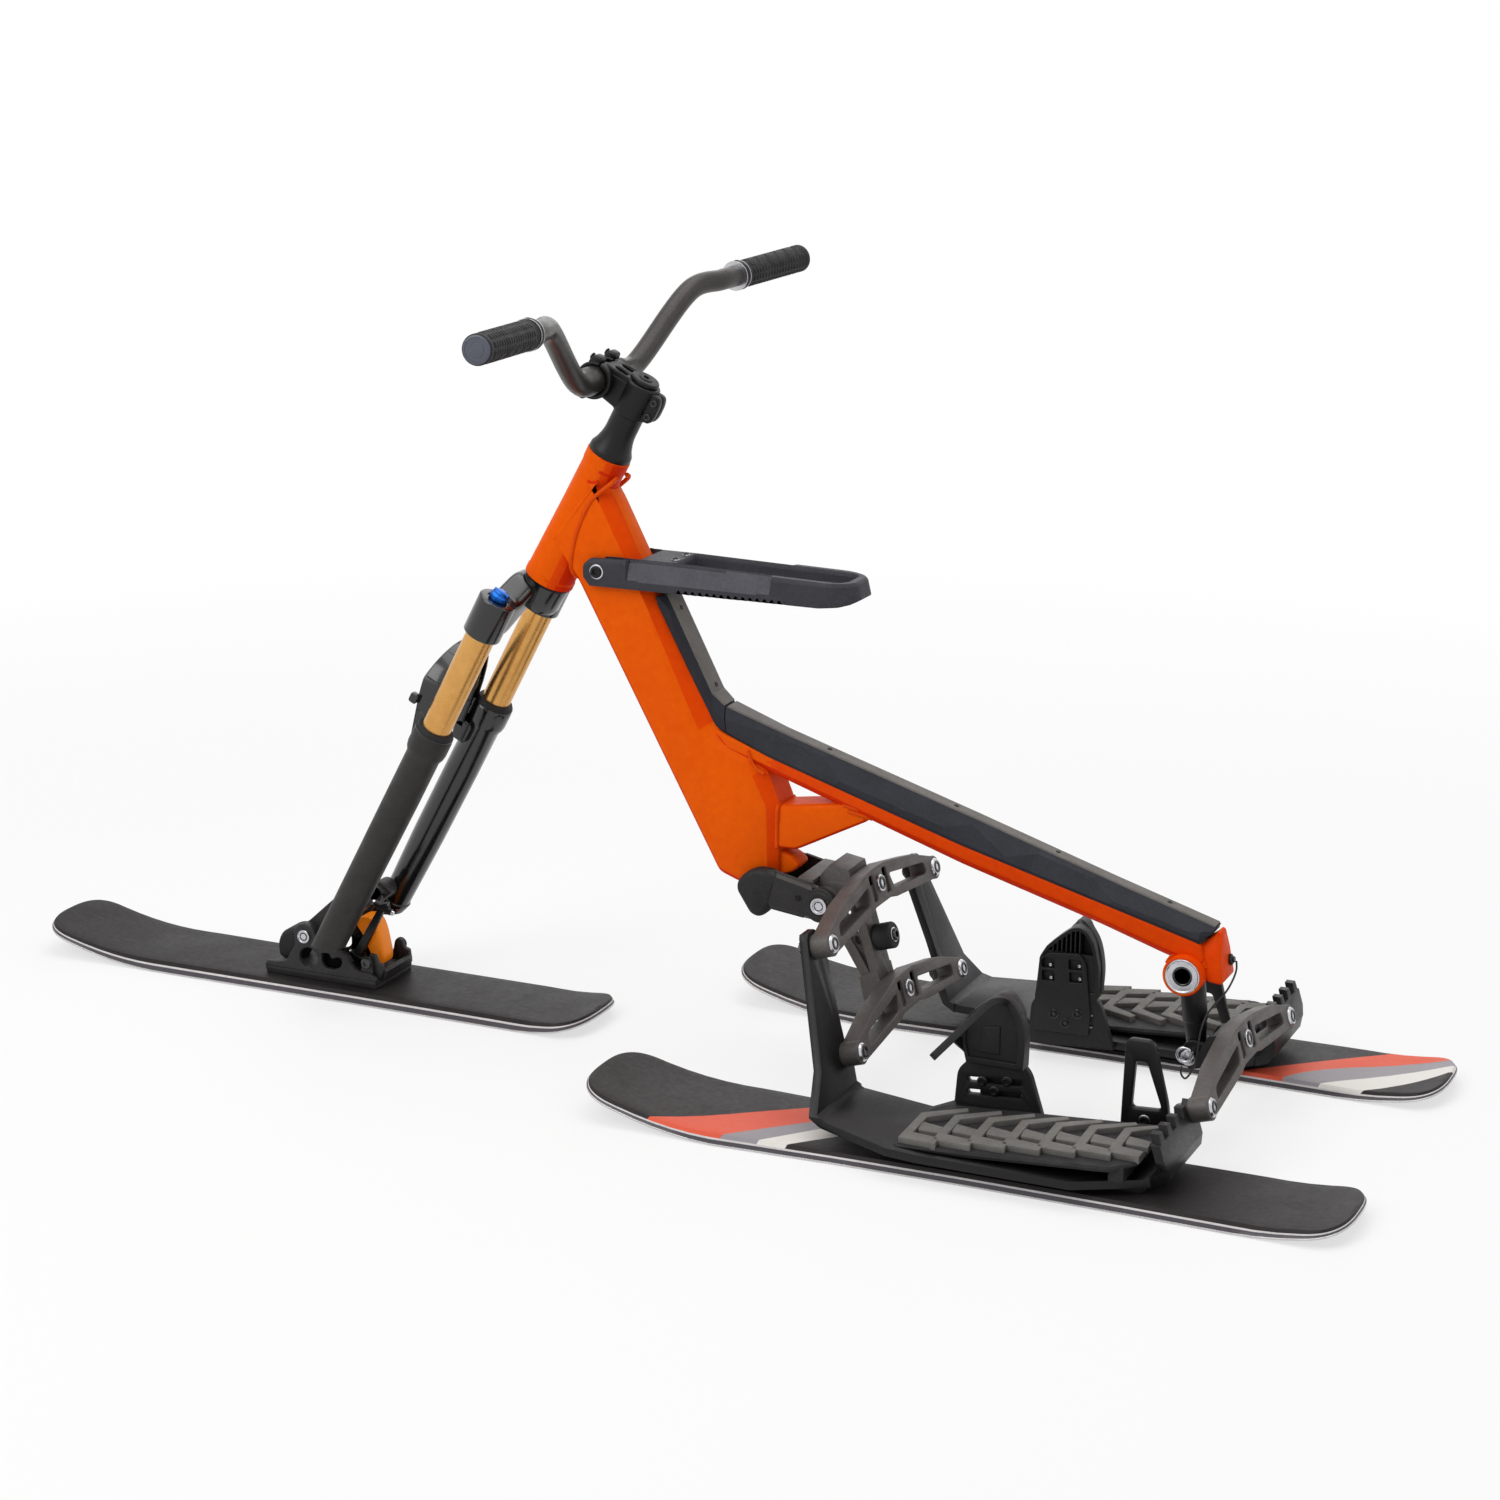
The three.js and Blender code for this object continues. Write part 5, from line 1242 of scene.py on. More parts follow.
def add_handle():
    """Rings of the handle's plan, whose heights follow the rail's edges; a shallow facet is pressed in its
    sides and carries painted light."""
    half, inner = 36.9, 27.5
    plan = [(-353, -half), (-56, -half), (-33, -22), (-33, 22), (-56, half), (-353, half), (-353, inner),
            (-258, inner), (-258, -inner), (-353, -inner)]
    plan = dense(round_corners(plan, [1, 14, 12, 12, 14, 1, 0.6, 2, 2, 0.6], 6), 1.2)
    loop = [(-242, -25.2), (-53, -25.2), (-45, -17), (-45, 17), (-53, 25.2), (-242, 25.2)]
    loop = dense(round_corners(loop, [4, 6, 6, 6, 6, 4], 5))
    shares = np.array([0.0, 0.04, 0.1, 0.27, 0.32, 0.84, 0.88, 0.95, 1.0])
    insets = np.array([0.5, 0.2, 0.0, 0.0, 0.0, 0.0, 0.4, 1.2, 2.4])
    levels = []
    for share, base in zip(shares, insets):
        x = plan[:, 0]
        rise = min(max(share - 0.27, 0.0) / 0.57, 1.0)
        pressed = np.clip((x + 285 + 15 * rise) / 2, 0, 1) * np.clip((-143 + 18 * rise - x) / 2, 0, 1)
        outside = np.abs(plan[:, 1]) > 34
        levels.append(base + pressed * outside * 6.0 * rise)
    verts, faces = layered_mesh(plan, shares, levels, holes=(loop,), plane="xy")
    x, share = verts[:, 0].copy(), verts[:, 2].copy()
    bottom = handle_bottom(x)
    verts[:, 2] = np.maximum(bottom * (1 - share) + handle_top(x) * share,
                             bottom + finger_scallops(x) + 6 * share)
    verts[:, 0] += 5.0 * (1 - share) * np.clip((x + 60) / 27, 0, 1)
    behind = (np.abs(verts[:, 1]) < 30) & (x < -244.5) & (x > -300)
    verts[behind, 0] = -264.0 - 0.5654 * (verts[behind, 2] - 523.3) + (verts[behind, 0] + 258)
    handle = make("handle_loop", (verts, faces), COVER_BLACK, "frame", 18, (HANDLE_PAINTED_LIGHT,),
                  "carry_handle")
    by_slope(handle, handle_painted_light_zone)
    bolt_x, bolt_z = HANDLE_BOLT
    shank = cross_turned([(6, -half), (6, half)], (bolt_x, bolt_z), 32)
    make("handle_shank", shank, STEEL, "frame", node="handle_bolt")
    for name, side in SIDES.items():
        place = np.array([bolt_x, side * (half - 0.4), bolt_z])
        screw(f"{name}_handle_screw", place, (0, side, 0), 6.8, 3.8, "frame")
        inner_screw = np.array([-250.0, side * 14.0, 566.2])
        screw(f"{name}_handle_clamp_screw", inner_screw - (0, 0, 1.2), (0, 0, 1), 3.4, 2.4, "frame")


# Treads on the platforms

def tread_height(x):
    """Height of the ribs' feet, which climbs toward the heel."""
    return 34.2 + (np.asarray(x, float) - 120.0) * 17.0 / 258.0


def add_treads():
    """A dark wedge, and seven chevron ribs with a stub in each. Each rib is one outline, moved back by the
    pitch and drawn inwards by a share of its own width, and its foot follows the wedge's top."""
    pitch, count = 36.4, 7
    rib = [(123, 264), (167, 271), (164, 254), (133, 246), (131, 201), (167, 173), (163, 164), (120, 190)]
    stub = [(129, 211), (134, 235), (161, 240), (158, 222)]
    for name, side in SIDES.items():
        body, ribs = f"{name}_ski", []
        for number in range(count):
            for outline, height in ((rib, 6.6), (stub, 5.4)):
                loop = np.array(outline, float)
                loop[:, 1] -= number * np.interp(loop[:, 1], (165, 200, 245, 290), (1.6, 3.0, 3.4, 3.6))
                loop[:, 0] += number * pitch
                loop[:, 0] = np.minimum(loop[:, 0], 378.0)
                loop[:, 1] = np.maximum(loop[:, 1], 142.0)
                loop = dense(round_corners(loop, 1.2, 2), 6.0)
                verts, faces = plate_mesh(loop, (-1.6, height), (0.2, 1.0), plane="xy")
                verts[:, 2] += tread_height(verts[:, 0])
                verts[:, 1] *= side
                ribs.append((verts, faces))
        make(f"{name}_tread_ribs", merged(*ribs), TREAD, body, 40)
        outline = dense(round_corners([(119, 158), (134, 142), (378, 142), (378, 250), (352, 271),
                                       (119, 271)], 6), 8)
        verts, faces = layered_mesh(outline, [0.0, 0.5, 1.0], [0.6, 0.0, 1.4], plane="xy")
        share = verts[:, 2].copy()
        foot = np.interp(verts[:, 0], (119, 200, 352, 378), (31.6, 33.4, 44, 48))
        verts[:, 2] = foot * (1 - share) + tread_height(verts[:, 0]) * share
        verts[:, 1] *= side
        feet = []
        for x0, x1, top in ((152, 200, 37.0), (350, 366, 48.0)):
            low, high = sorted((side * 150, side * 262))
            feet.append(plate_mesh([(x0, low), (x1, low), (x1, high), (x0, high)], (31.3, top), 0.6,
                                   plane="xy"))
        make(f"{name}_tread_base", merged((verts, faces), *feet), RUBBER, body, 35,
             node=f"{name}_tread")


# Rockers, hanger and their bolts

def lean_plate(outline, span, edge, holes=()):
    """A plate square to the rocker pins: outline in y and z, span along x, all in the leaning frame."""
    verts, faces = plate_mesh(outline, span, edge, holes, plane="yz")
    return leaning(verts), faces


def add_rockers():
    """Each rocker is a core plate and a face plate with pockets, so the pockets' floors lie below its rear
    face."""
    for name, (back, pivot) in ROCKERS.items():
        half = [(0, 19), (25, 18.5), (100, 5.5), *arc((ARM_REACH, -ARM_DROP), 12.8, 78, -110, 12).tolist(),
                (38, -26), (22, -22), (0, -22)]
        outline = np.array(half + [(-y, z) for y, z in half[-2:0:-1]]) + (0, pivot)
        window = round_corners([(30, 3.5), (124, -11.5), (126, -25), (36, -15.5)], [5, 6, 6, 5], 5)
        pocket = round_corners([(13, 13.5), (24, 13.0), (24, -15.5), (13, -15.5)], 3, 3)
        both = [window * (s, 1) + (0, pivot) for s in (1, -1)]
        pockets = [pocket * (s, 1) + (0, pivot) for s in (1, -1)]
        core = lean_plate(outline, (back - 20.6, back - 3), (1.4, 0.0), both)
        face = lean_plate(outline, (back - 3, back), (0.0, 1.4), both + pockets)
        shapes = [core, face]
        for side in SIDES.values():
            shapes.append(lean_turned([(9.5, -22.4), (12.4, -22.4), (13.4, -21.4), (13.4, -0.6), (12.6, 0.3),
                                       (9.5, 0.3)], back, side * ARM_REACH, pivot - ARM_DROP))
            rib = [(side * 44, 0.5), (side * 52, -1.0), (side * 50, -17.6), (side * 42, -16.6)]
            shapes.append(lean_plate(np.array(rib) + (0, pivot), (back - 19, back - 15), 0.6))
        shapes.append(lean_turned([(9.6, -24), (12, -24), (12, -20), (9.6, -20)], back, 0, pivot))
        make(f"{name}_rocker_casting", merged(*shapes), CAST, f"{name}_rocker", 30,
             node=f"{name}_rocker")
        add_rocker_bolts(name, back, pivot)


def add_rocker_bolts(name, back, pivot):
    """A centre pin on the linkage, and an outer bolt with its sleeve and nut at each end of the rocker."""
    head = lean_turned([(6, -34), (6, -20), (6.2, 0.4), (7.4, 0.4), (7.4, 3.6), (6.8, 4.2), (4.6, 4.2),
                        (4.0, 3.8), (4.0, 1.6), (0.4, 1.4)], back, 0, pivot, hexes=(7, 8))
    ring = lean_turned([(7.3, 0.3), (9.6, 0.3), (9.6, 2.4), (9.0, 3.2), (7.3, 3.2)], back, 0, pivot)
    make(f"{name}_pin", in_zones(head, ring), BOLT, "rear_base", 30, (STEEL,),
         node=f"{name}_rocker_pin")
    nut_at = 340.3 if name == "rear" else -30.1
    for label, side in SIDES.items():
        y, z = side * ARM_REACH, pivot - ARM_DROP
        shank = lean_turned([(5, nut_at - 9.5 - back), (5, 0.6)], back, y, z)
        head = lean_turned([(6.8, 0.35), (7.0, 0.8), (7.0, 3.5), (6.4, 4.1), (4.4, 4.1), (3.8, 3.7),
                            (3.8, 1.8), (0.4, 1.6)], back, y, z, hexes=(5, 6))
        nut = nut_mesh(leaning((nut_at - 0.4, y, z)), -LEAN_AXIS, 8.0, 7.4, 4.6)
        ring = lean_turned([(6.9, 0.1), (10.4, 0.1), (10.4, 0.9), (9.4, 2.6), (8.6, 3.2), (6.9, 3.2)], back,
                           y, z)
        whole = in_zones(merged(shank, head, nut), ring)
        make(f"{label}_{name}_screw", whole, BOLT, f"{label}_ski", 30, (STEEL,),
             node=f"{label}_{name}_bolt")


def add_stop():
    """The round rubber stop behind the hanger, on its silver socket screw."""
    bumper = lean_turned([*rounded_cone(0.4, 22.0, 15, 15, 1.2, 2.4), (10.4, 22.0), (10.0, 21.2),
                          (0.4, 21.2)], -21.3, 0, -35.5, 56)
    make("rear_stop", bumper, RUBBER, "rear_base", 35, node="stop_bolt")
    head = leaning((0.2, 0.0, -35.5))
    screw("rear_stop_screw", head, LEAN_AXIS, 7.0, 3.8, "rear_base", head=BOLT)


# Pieces on pivots across the bike

def pivot_screw(name, node, place, half, radius, body, thin=0.7):
    """A bolt through the whole width: on each end a silver ring round a dark head with a six-sided socket."""
    x, z = place
    rings, heads = [], [cross_turned([(radius * 0.6, -half), (radius * 0.6, half)], (x, z), 32)]
    for side in SIDES.values():
        way, r = (0, side, 0), radius
        rings.append(turned_mesh([(r * thin, half - 0.6), (r, half - 0.6), (r, half + 1.6),
                                  (r * 0.96, half + 2.3), (r * (thin + 0.06), half + 2.3),
                                  (r * thin, half + 1.6)], (x, 0, z), way, 48))
        heads.append(turned_mesh([(r * thin + 0.1, half - 1), (r * thin + 0.1, half + 1.0),
                                  (r * 0.5, half + 2.0), (r * 0.44, half + 1.8), (r * 0.4, half - 0.6),
                                  (0.3, half - 0.7)], (x, 0, z), way, 48, hexes=(3, 4)))
    make(name, in_zones(merged(*rings), merged(*heads)), STEEL, body, 30, (BLACK,), node)


# Yoke under the frame

YOKE_SIDE = [(-130, 231), (-118, 232), (-64, 219.6), (-44, 205), (-50, 186), (-73, 181), (-123, 187),
             (-132, 196)]


def add_yoke():
    """Two side plates with a broad bevel, a boss at the pivot, and a cross bar, with painted light on the top
    bevels; the bumper is a rounded block."""
    x, z = YOKE_PIVOT
    shapes = []
    for side in SIDES.values():
        outline = round_corners(YOKE_SIDE, [1, 4, 12, 14, 10, 3, 3, 3], 5)
        shapes.append(side_plate(outline, side, (36.3, 42.3), (1.0, 4.2), steps=1))
        disc = [(12, 36.3), (20, 36.3), (20, 41.6), (19, 42.8), (15.6, 43.0), (14.8, 43.8), (11.6, 43.8),
                (11.0, 43.0), (8.4, 43.0)]
        shapes.append(cross_turned(disc, (x, z), 72, side=side))
        rib = [(-121, 188), (-80, 183), (-80, 187.6), (-120, 192.6)]
        shapes.append(side_plate(rib, side, (41.6, 43.0), 0.5))
    shapes.append(plate_mesh([(-120, 192), (-108, 188), (-104, 202), (-116, 206)], (-37, 37), 1.0))
    # Painted light: strips of the lighter cast grey on each side plate's top bevel and across the top, where
    # light falls from above.
    pale = [side_plate([(-119, 232.4), (-64.5, 220.0), (-64.5, 213.5), (-119, 225.5)], side, (36.4, 42.5),
                       (0.3, 5.6), steps=1) for side in SIDES.values()]
    pale.append(plate_mesh([(-89, 228), (-71, 226.5), (-71, 222), (-89, 223)], (-38, 38), 0.8))
    whole = in_zones(merged(*shapes), merged(*pale))
    make("yoke_casting", whole, CAST_DARK, "frame", 30, (CAST,), node="yoke")
    for name, side in SIDES.items():
        screw(f"{name}_yoke_screw", (-87, 42.2 * side, 205), (0, side, 0), 2.8, 1.0, "frame", ring=BLACK,
              head=BOLT)
    nose = [(-163, 204), (-162, 214), (-154, 224), (-139, 231.5), (-119, 231), (-112, 221), (-121, 190),
            (-127, 180), (-136, 175), (-146, 178)]
    cheeks = [side_plate(round_corners(nose, [6, 6, 7, 7, 6, 6, 4, 5, 6, 6], 5), side, (27.6, 43.2),
                         (1.0, 6.5), steps=5) for side in SIDES.values()]
    middle = [(-161, 203), (-124, 203), (-121, 191), (-127, 180.6), (-136, 176), (-146, 179)]
    block = plate_mesh(round_corners(middle, [4, 2, 4, 5, 6, 6], 5), (-28.4, 28.4), 1.0)
    make("yoke_bumper_rubber", merged(block, *cheeks), RUBBER, "frame", 40,
         node="yoke_bumper")
    pivot_screw("yoke_bolt", "yoke_axle", YOKE_PIVOT, 43.4, 9.6, "frame")


# Mount and spring on the front ski

def add_front_mount():
    """Side plates with a round window and a hooked one over a stepped floor, and a seat of two fingers and a
    lip."""
    x, z = PITCH_PIVOT
    boss = arc((x, z), 15, 178, 16, 18).tolist()
    cheek = [(-782, 24), (-779, 31), (-764, 31.5), (-752, 35), (-739, 56), *boss, (-706, 57), (-690, 57),
             (-673, 57), (-667, 53), (-664, 44), (-658, 38), (-650, 35.5), (-637, 35), (-628, 29), (-628, 24)]
    hooked = [(-702, 51), (-692, 51.5), (-690, 46.5), (-686, 45.5), (-682, 48.5), (-676, 48), (-674.5, 43),
              (-677, 36.5), (-686, 32.5), (-697, 33), (-702, 39)]
    holes = [arc((-720.5, 42.6), 12.4, 0.0, 360.0, 41)[:-1], round_corners(hooked, 1.6, 3)]
    shapes = []
    for name, side in SIDES.items():
        loop = round_corners(cheek, 1.6, 3)
        shapes.append(side_plate(loop, side, (37.5, 43.3), (0.6, 1.6), holes))
        finger = round_corners([(-642, 56), (-634, 55), (-631, 46), (-625, 44), (-623.5, 34), (-629, 24),
                                (-640, 24), (-639, 36)], 1.4)
        shapes.append(side_plate(finger, side, (28, 35), 1.2))
        hub = round_corners([(-651, 33), (-647, 53), (-638, 54), (-633, 33)], 4)
        shapes.append(side_plate(hub, side, (34.6, 41), 1.0))
        screw(f"{name}_mount_screw", (-642, 40.5 * side, 46.5), (0, side, 0), 6.2, 3.0, "front_ski",
              ring=BLACK, head=LEG)
    room = round_corners([(-692, -28.5), (-652, -28.5), (-652, 28.5), (-692, 28.5)], 3)
    base = round_corners([(-782, -41.5), (-628, -41.5), (-628, 41.5), (-782, 41.5)], 4)
    shapes.append(plate_mesh(base, (15.4, 20.4), 0.8, [room], plane="xy"))
    upper = round_corners([(-781.6, -43.3), (-628.6, -43.3), (-628.6, 43.3), (-781.6, 43.3)], 3)
    shapes.append(plate_mesh(upper, (19.8, 25.2), (0.8, 1.0), [room], plane="xy"))
    shapes.append(plate_mesh([(-651, 24), (-624, 24), (-620, 36), (-626, 38), (-633, 31), (-651, 29)],
                             (-30, 30), 1.0))
    make("front_mount_casting", merged(*shapes), CAST_DARK, "front_ski", 30,
         node="front_ski_mount")
    bumper = [(-778, 30), (-780, 46), (-773, 60), (-762, 66), (-746, 66), (-745, 54), (-753, 25.4),
              (-771, 25.4)]
    block = plate_mesh(round_corners(bumper, [2, 8, 8, 6, 5, 3, 2, 2], 5), (-19, 19), 6.0, steps=5)
    make("front_bumper_rubber", block, RUBBER, "front_ski", 40, node="front_bumper")
    pivot_screw("front_pivot_screw", "front_pivot_bolt", PITCH_PIVOT, 44.2, 8.2, "front_ski", 0.84)
    spring = [(-649, 34), (-637, 36), (-635, 46), (-638, 62), (-641, 76), (-646, 88), (-655, 94), (-665, 93),
              (-673, 87), (-672, 80), (-664, 69), (-656, 52)]
    # Painted shadow: near-black sheets just inside the side plates, behind the hooked opening, stand in for the
    # shade inside the mount.
    shadow_sheets = [side_plate([(-706, 26), (-672, 26), (-672, 55), (-706, 55)], side, (32.0, 34.0), 0.4)
              for side in SIDES.values()]
    make("mount_painted_shadow", merged(*shadow_sheets), PAINTED_SHADOW, "front_ski")
    block = plate_mesh(round_corners(spring, [3, 4, 4, 6, 6, 5, 4, 4, 4, 3, 4, 4], 5), (-12.6, 12.6), 3.5,
                       steps=4)
    make("spring_block", block, SPRING, "front_ski", 40, node="front_elastomer")


def add_adapter():
    """Two cheeks from the fork's feet to the pivot, open between them for the spring, and a stub of tube on
    each."""
    x, z = PITCH_PIVOT
    outline = [(-735, 60), (-719, 55), (-692, 50.6), (-682, 56), (-654, 106), (-641, 116), (-655, 127.4),
               (-676, 129.4), (-692, 116), (-729, 82)]
    loop = round_corners(outline, [6, 4, 4, 6, 6, 4, 6, 6, 8, 4], 4)
    window = round_corners([(-712, 66), (-694, 61), (-678, 82), (-690, 98)], 4)
    shapes = [side_plate(loop, side, (20.5, 30), 1.6, [window]) for side in SIDES.values()]
    web = inset(anticlockwise(loop), 4.0)
    shapes += [side_plate(web, side, (13.6, 21.0), 1.0) for side in SIDES.values()]
    boss = [(7.6, -36.7), (13.2, -36.7), (14, -35.9), (14, 35.9), (13.2, 36.7), (7.6, 36.7)]
    shapes.append(cross_turned(boss, (x, z), 56))
    tube = [(8, 13.6), (12, 13.6), (12, 51.4), (11.4, 52), (8, 52)]
    shapes += [cross_turned(tube, (-664, 112), 48, side=side) for side in SIDES.values()]
    make("adapter_casting", merged(*shapes), CAST_DARK, "fork", 30, node="fork_adapter")
    side = SIDES["left"]
    bar = [(-630.5, 116.5), (-620, 120), (-663.5, 38), (-672.5, 45)]
    shapes, pins, way = [side_plate(bar, side, (19.4, 26.2), 0.9)], [], (0.93, 0.0, -0.37)
    for x, z in ((-628, 112), (-662, 46)):
        shapes.append(cross_turned([(4.6, 13.8), (5.0, 14.2), (5.0, 20.0)], (x, z), 24, side=side))
        shapes.append(turned_mesh([(3.4, -12), (4.2, -11.4), (4.2, 11.4), (3.4, 12)], (x, 22.8 * side, z),
                                  way, 24))
        pins.append(turned_mesh([(2.6, -15), (3.0, -14.6), (3.0, 14.6), (2.6, 15)], (x, 22.8 * side, z), way,
                                20))
    whole = in_zones(merged(*shapes), merged(*pins))
    make("spring_link", whole, BLACK, "fork", 30, (STEEL,), node="elastomer_link")


# Stem on the steerer

def steer_screw(name, place, way, radius, height, **looks):
    """A screw whose place and direction are given in the steering frame."""
    axis = steering(way) - HEAD_BOTTOM
    screw(name, steering(place), axis, radius, height, "steering", **looks)


def ring_part(centre, outer, inner, start, stop, steps=26):
    """The outline of part of a ring, in degrees."""
    return np.concatenate([arc(centre, outer, start, stop, steps), arc(centre, inner, stop, start, steps)])


def add_stem():
    """A drum round the steerer, a body with two oval pockets on top, and the rear half of the bar's clamp."""
    clamp = (-46.0, 239.0)
    shapes = [steer_turned([*rounded_cone(220.2, 259.8, 20.4, 20.4, 1.4, 2.6)], sides=72)]
    body = round_corners([(-42, 225), (-12, 221.5), (4, 222), (4, 255.6), (-42, 255.6)], 3)
    shapes.append(steer_plate(body, (-16.5, 16.5), 2.4))
    ovals = [np.array([(10.5 * math.cos(a) - 24, 5.2 * math.sin(a) + y) for a in np.linspace(0, 2 * np.pi,
                                                                                             29)[:-1]])
             for y in (-8.0, 8.0)]
    top = round_corners([(-44, -16.2), (-8, -16.2), (-8, 16.2), (-44, 16.2)], 3)
    shapes.append(steer_plate(top, (254.0, 261.0), (0.2, 1.8), ovals, plane="xy"))
    for y0, y1, outer in ((-26, -8, 21.4), (-8.4, 8.4, 19.4), (8, 26, 21.4)):
        shapes.append(steer_plate(ring_part(clamp, outer, 16.3, -88, 88), (y0, y1), 1.4))
    for low, high in ((-9.4, -1.0), (1.0, 9.4)):
        lug = round_corners([(14, 223), (28, 224), (31, 232), (31, 248), (28, 257), (14, 257)], 5)
        shapes.append(steer_plate(lug, (low, high), 1.6))
    make("stem_body", merged(*shapes), BLACK, "steering", 32, node="stem")
    for number, z in enumerate((231.5, 249.0)):
        steer_screw(f"stem_clamp_screw_{number + 1}", (24.0, -9.2, z), (0, -1, 0), 4.0, 2.4, ring=BLACK,
                    head=BOLT)
    shapes = []
    for name, side in SIDES.items():
        shapes.append(steer_plate(ring_part(clamp, 20.6, 16.3, 92, 268), span_on(side, 8.6, 25.4), 1.4))
        for word, rise in (("upper", 1), ("lower", -1)):
            ear = [(-61, clamp[1] + rise * 15), (-46.8, clamp[1] + rise * 15),
                   (-46.8, clamp[1] + rise * 26.5), (-58, clamp[1] + rise * 26.5)]
            shapes.append(steer_plate(round_corners(ear, [2, 0.5, 4, 5], 5), span_on(side, 10.5, 24.5), 2.4))
            place = (-60.4, side * 17.5, clamp[1] + rise * 20.6)
            steer_screw(f"faceplate_screw_{name}_{word}", place, (-1, 0, 0), 3.6, 1.8, ring=BLACK, head=BOLT)
    for z0, z1 in ((110, 146), (214, 250)):
        shapes.append(steer_plate(ring_part(clamp, 19.8, 16.3, z0, z1, 12), (-9, 9), 0.8))
    make("stem_face", merged(*shapes), BLACK, "steering", 32, node="stem_faceplate")
    cap = steer_turned([(16.4, 260.3), (16.6, 261.0), (16.6, 263.6), (15.4, 265.2), (8.6, 265.4),
                        (7.8, 266.6), (4.4, 266.8), (3.2, 266.2), (3.2, 264.2), (0.4, 264.0)], sides=56,
                       hexes=(7, 8))
    make("stem_cap", cap, BLACK, "steering", 30, node="stem_top_cap")


# Boot supports and strap loops

def support_arm(side):
    """The hood's rim: up the rear edge, over the apex, and outwards and forwards over the boot."""
    rim = [(208, 129, 86), (209, 129, 116), (203, 130, 143), (192, 133, 158), (183, 145, 160),
           (171, 165, 149), (157, 190, 133), (141.5, 215, 115)]
    path = smooth_path(np.array(rim) * (1, side, 1), 60)
    return band_mesh(path, 12.0, 8.0, (0.0, 1.0, 0.0), 1.2)


def support_wall():
    """The hood's side view: anticlockwise from the foot, up the rear edge and down the sloping front."""
    return round_corners([(147, 80), (211, 80), (212, 118), (206, 145), (197, 159), (187, 163), (178, 160),
                          (164, 149), (150, 136), (142, 122), (141, 104)], [2, 2, 6, 6, 6, 6, 3, 3, 3, 3, 4],
                         4)


def add_boot_supports():
    """A bracket with two long slots, a plate with four pockets bolted behind it, and a hooded hook above."""
    for name, side in SIDES.items():
        bracket = [(130, 18), (232, 24), (216, 74), (208, 83), (150, 84), (134, 68)]
        slots = [round_corners([(146, z), (207, z + 4.4), (207, z + 10.4), (146, z + 6)], 2.6, 4)
                 for z in (41, 55)]
        loop = round_corners(bracket, [1, 1, 8, 4, 4, 8], 5)
        shapes = [side_plate(loop, side, (112.4, 121.4), 1.2, slots)]
        left = 157.0 if side < 0 else 139.0
        back = [(left, 36), (203, 38), (205, 60), (198, 122), (190, 133), (152, 129), (143, 119), (140, 84),
                (left, 78)]
        back = round_corners(back, [3, 3, 3, 6, 5, 5, 5, 2, 2], 4)
        pockets = [round_corners([(x, z), (x + 15, z + 1), (x + 14.4, z + 13), (x - 0.6, z + 12)], 1.4, 3)
                   for x, z in ((146.5, 111), (178, 113), (147, 96), (179.5, 98))]
        shapes.append(side_plate(back, side, (108.6, 112.6), (1.2, 0.2), pockets))
        hood = support_wall()
        wall = [(147, 81), (210, 81), (210, 118), (208, 131), (147, 131), (143, 120), (142, 104)]
        shapes.append(side_plate(round_corners(wall, 2), side, (113.8, 117.0), 0.6))
        shapes.append(side_plate(hood, side, (112.4, 131.0), 0.8, [inset(hood, 4.2)]))
        shapes.append(side_plate(inset(hood, 3.6), side, (126.0, 128.6), 0.4))
        for x in np.arange(157.0, 190.0, 5.2):
            top = np.interp(x, (150, 164, 178, 189), (133, 146, 157, 160))
            rib = [(x, 128), (x + 1.7, 128), (x + 1.7, top), (x, top)]
            shapes.append(side_plate(rib, side, (111.6, 127.0), 0.3))
        ledge = [(148, 81), (211, 81), (211, 88), (148, 88)]
        shapes.append(side_plate(round_corners(ledge, 1.2, 3), side, (112.0, 132.5), 1.0))
        box = round_corners([(160, 94), (184, 94), (184, 126), (164, 123)], 2)
        shapes.append(side_plate(box, side, (128.2, 130.4), (0.2, 1.0)))
        shapes.append(support_arm(side))
        web = smooth_path(np.array([(149, 118, 84), (140, 128, 100), (141, 152, 116), (146, 178, 124)])
                          * (1, side, 1), 24)
        shapes.append(band_mesh(web, 12.0, 3.0, (0.0, 1.0, 0.0), 0.8))
        make(f"{name}_support_hook", merged(*shapes), PLASTIC, f"{name}_ski", 30,
             node=f"{name}_boot_support")
        for number, (x, z) in enumerate(((162, 58), (190, 62), (176, 49))):
            for word, y, way in (("inner", 108.8, -1), ("outer", 121.2, 1)):
                screw(f"{name}_support_{word}_screw_{number + 1}", (x, y * side, z), (0, side * way, 0), 4.6,
                      2.6, f"{name}_ski", head=BLACK, ring=BOLT)
        dots = [socket_head((x, 112.0 * side, z), (0, -side, 0), 1.9, 1.6)
                for x, z in ((156, 115), (190, 118), (157, 100), (191, 103))]
        make(f"{name}_pocket_screws", merged(*dots), STEEL, f"{name}_ski")


def add_strap_loops():
    """On each side a bracket with one opening for a strap, and its screw."""
    outer = [(316, 26), (370, 30), (368, 62), (351, 128), (345, 132), (324, 132), (319, 127)]
    inner = [(328, 56), (361, 58), (343, 108), (331, 108)]
    for name, side in SIDES.items():
        loop = side_plate(round_corners(outer, [1, 1, 10, 6, 4, 4, 4], 5), side, (112.4, 121.4), 2.2,
                          [round_corners(inner, [5, 6, 4, 4], 5)])
        make(f"{name}_strap_bracket", loop, BLACK, f"{name}_ski", 35,
             node=f"{name}_strap_loop")
        screw(f"{name}_strap_screw", (343, 121.2 * side, 44), (0, side, 0), 5.2, 3.0, f"{name}_ski")


# Strut, pull pin and lanyard

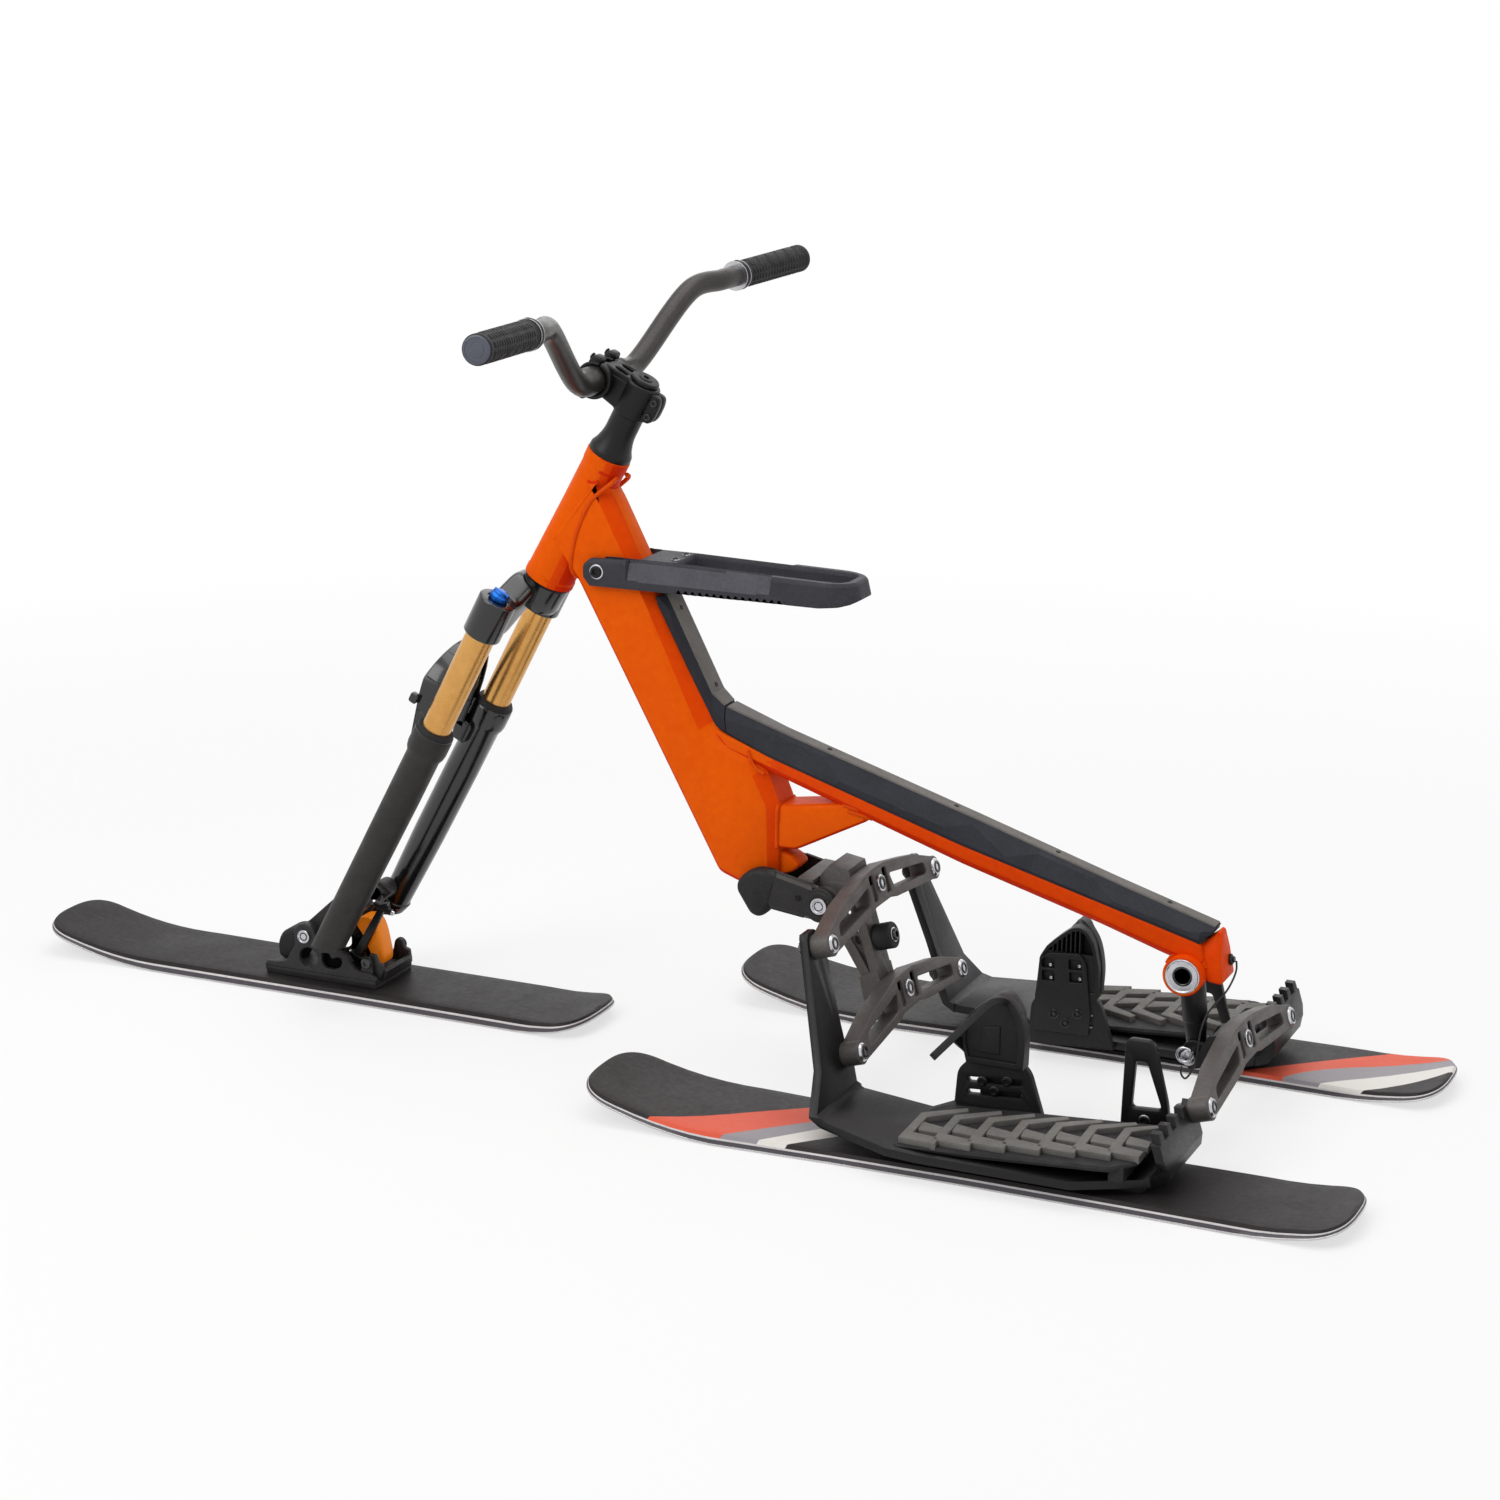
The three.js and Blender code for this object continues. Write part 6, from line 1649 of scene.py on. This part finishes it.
STRUT_FOOT = (361.0, 86.0)
LANYARD_BOLT = (389.9, 11.0, 187.0)
LANYARD = [(397, 11, 186.5), (398, 9, 178), (397, 4, 170), (393, -8, 158), (385, -19, 147), (378, -27, 135),
           (374, -33, 118), (373, -37, 100), (371, -39, 84), (366, -39, 71), (360, -38, 64.5),
           (355.5, -37, 69), (355.5, -36, 77)]


def add_strut():
    """A cylinder between two eyes, with a step under the upper one."""
    top, foot = np.array([SHELL[0], 0.0, SHELL[1]]), np.array([STRUT_FOOT[0], 0.0, STRUT_FOOT[1]])
    down = foot - top
    length = np.linalg.norm(down)
    body = [(10.5, 10), (11.0, 17), (13.2, 18.5), (13.6, 20), (13.6, 58), (13.0, 59.4), (12.4, 60),
            (12.4, 66), (11.6, 72), (10.6, length - 8)]
    shapes = [turned_mesh(body, top, down, 48)]
    for (x, z), radius, bore in ((SHELL, 15.0, 8.5), (STRUT_FOOT, 13.0, 5.4)):
        eye = [(bore, -13.6), (radius - 1.2, -13.8), (radius, -12.6), (radius, 12.6), (radius - 1.2, 13.8),
               (bore, 13.6)]
        shapes.append(cross_turned(eye, (x, z), 48))
    make("strut_cylinder", merged(*shapes), BLACK, "strut", 32, node="strut")
    x, z = STRUT_FOOT
    shaft = [(4.4, 26), (5.0, 25.2), (5.0, -31), (8.0, -31), (8.6, -32.4), (8.0, -34.4), (5.0, -35.2),
             (0.4, -35.4)]
    pin = cross_turned(shaft, (x, z), 40)
    around = np.linspace(0, 2 * np.pi, 41)[:-1]
    path = np.stack([x - 3 + 8 * np.cos(around), np.full(40, -36.0), z + 4 + 8 * np.sin(around)], -1)
    turn = np.linspace(0, 2 * np.pi, 13)[:-1]
    middle = np.array([x - 3, -36.0, z + 4])
    outward = (path - middle) / 8.0
    loops = path[:, None] + 1.5 * (np.cos(turn)[None, :, None] * outward[:, None]
                                   + np.sin(turn)[None, :, None] * np.array(ACROSS))
    make("pull_pin", merged(pin, hoop(loops)), STEEL, "release_pin", 35, node="release_pin")


def add_lanyard():
    """The thin cord from the bolt on the tail to the pull pin's ring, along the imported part's own route."""
    x, y, z = LANYARD_BOLT
    way = (5.5, 0.0, 1.0)
    head = turned_mesh([(5.0, 0.4), (6.2, 0.6), (6.2, 2.2), (4.6, 3.4), (3.4, 3.6), (3.2, 5.4), (0.4, 5.5)],
                       (x, y, z), way, 40)
    make("lanyard_screw", head, BLACK, "frame", 32, node="lanyard_bolt")
    path = smooth_path(LANYARD, 90)
    line = make("lanyard_cord", tube_mesh(path, 1.1, 10, up=(0.3, 1.0, 0.1)), CORD, "frame", 60,
                node="lanyard")


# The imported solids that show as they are, with their edges broken

NODE_LOOKS = {"left_platform": BLACK, "right_platform": BLACK, "hanger": CAST, "rear_hub": CAST_DARK}


def dress_nodes():
    """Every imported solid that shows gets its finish, a clean skin and slightly broken edges."""
    for name, material in NODE_LOOKS.items():
        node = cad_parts[name]
        node.data.materials.clear()
        node.data.materials.append(material)
        weld = node.modifiers.new("weld", "WELD")
        weld.merge_threshold = MERGE_DISTANCE
        flats = node.modifiers.new("merge_flats", "DECIMATE")
        flats.decimate_type = "DISSOLVE"
        flats.angle_limit = FLAT_ENOUGH
        bevel = node.modifiers.new("broken_edges", "BEVEL")
        bevel.width = BROKEN_EDGE
        bevel.segments = 2
        bevel.limit_method = "ANGLE"
        bevel.angle_limit = SHARP_ENOUGH
        bevel.harden_normals = True
        node.data.shade_smooth()


def write_size():
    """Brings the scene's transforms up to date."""
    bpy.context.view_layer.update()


for build in (add_studio, add_skis, add_fork_tubes, add_fork_lowers, add_crown, add_headset, add_grips,
              add_bar, add_frame, add_shell_bearing, add_covers, add_handle, add_treads, add_rockers,
              add_stop, add_yoke, add_front_mount, add_adapter, add_stem, add_boot_supports,
              add_strap_loops, add_strut, add_lanyard, dress_nodes, write_size):
    build()
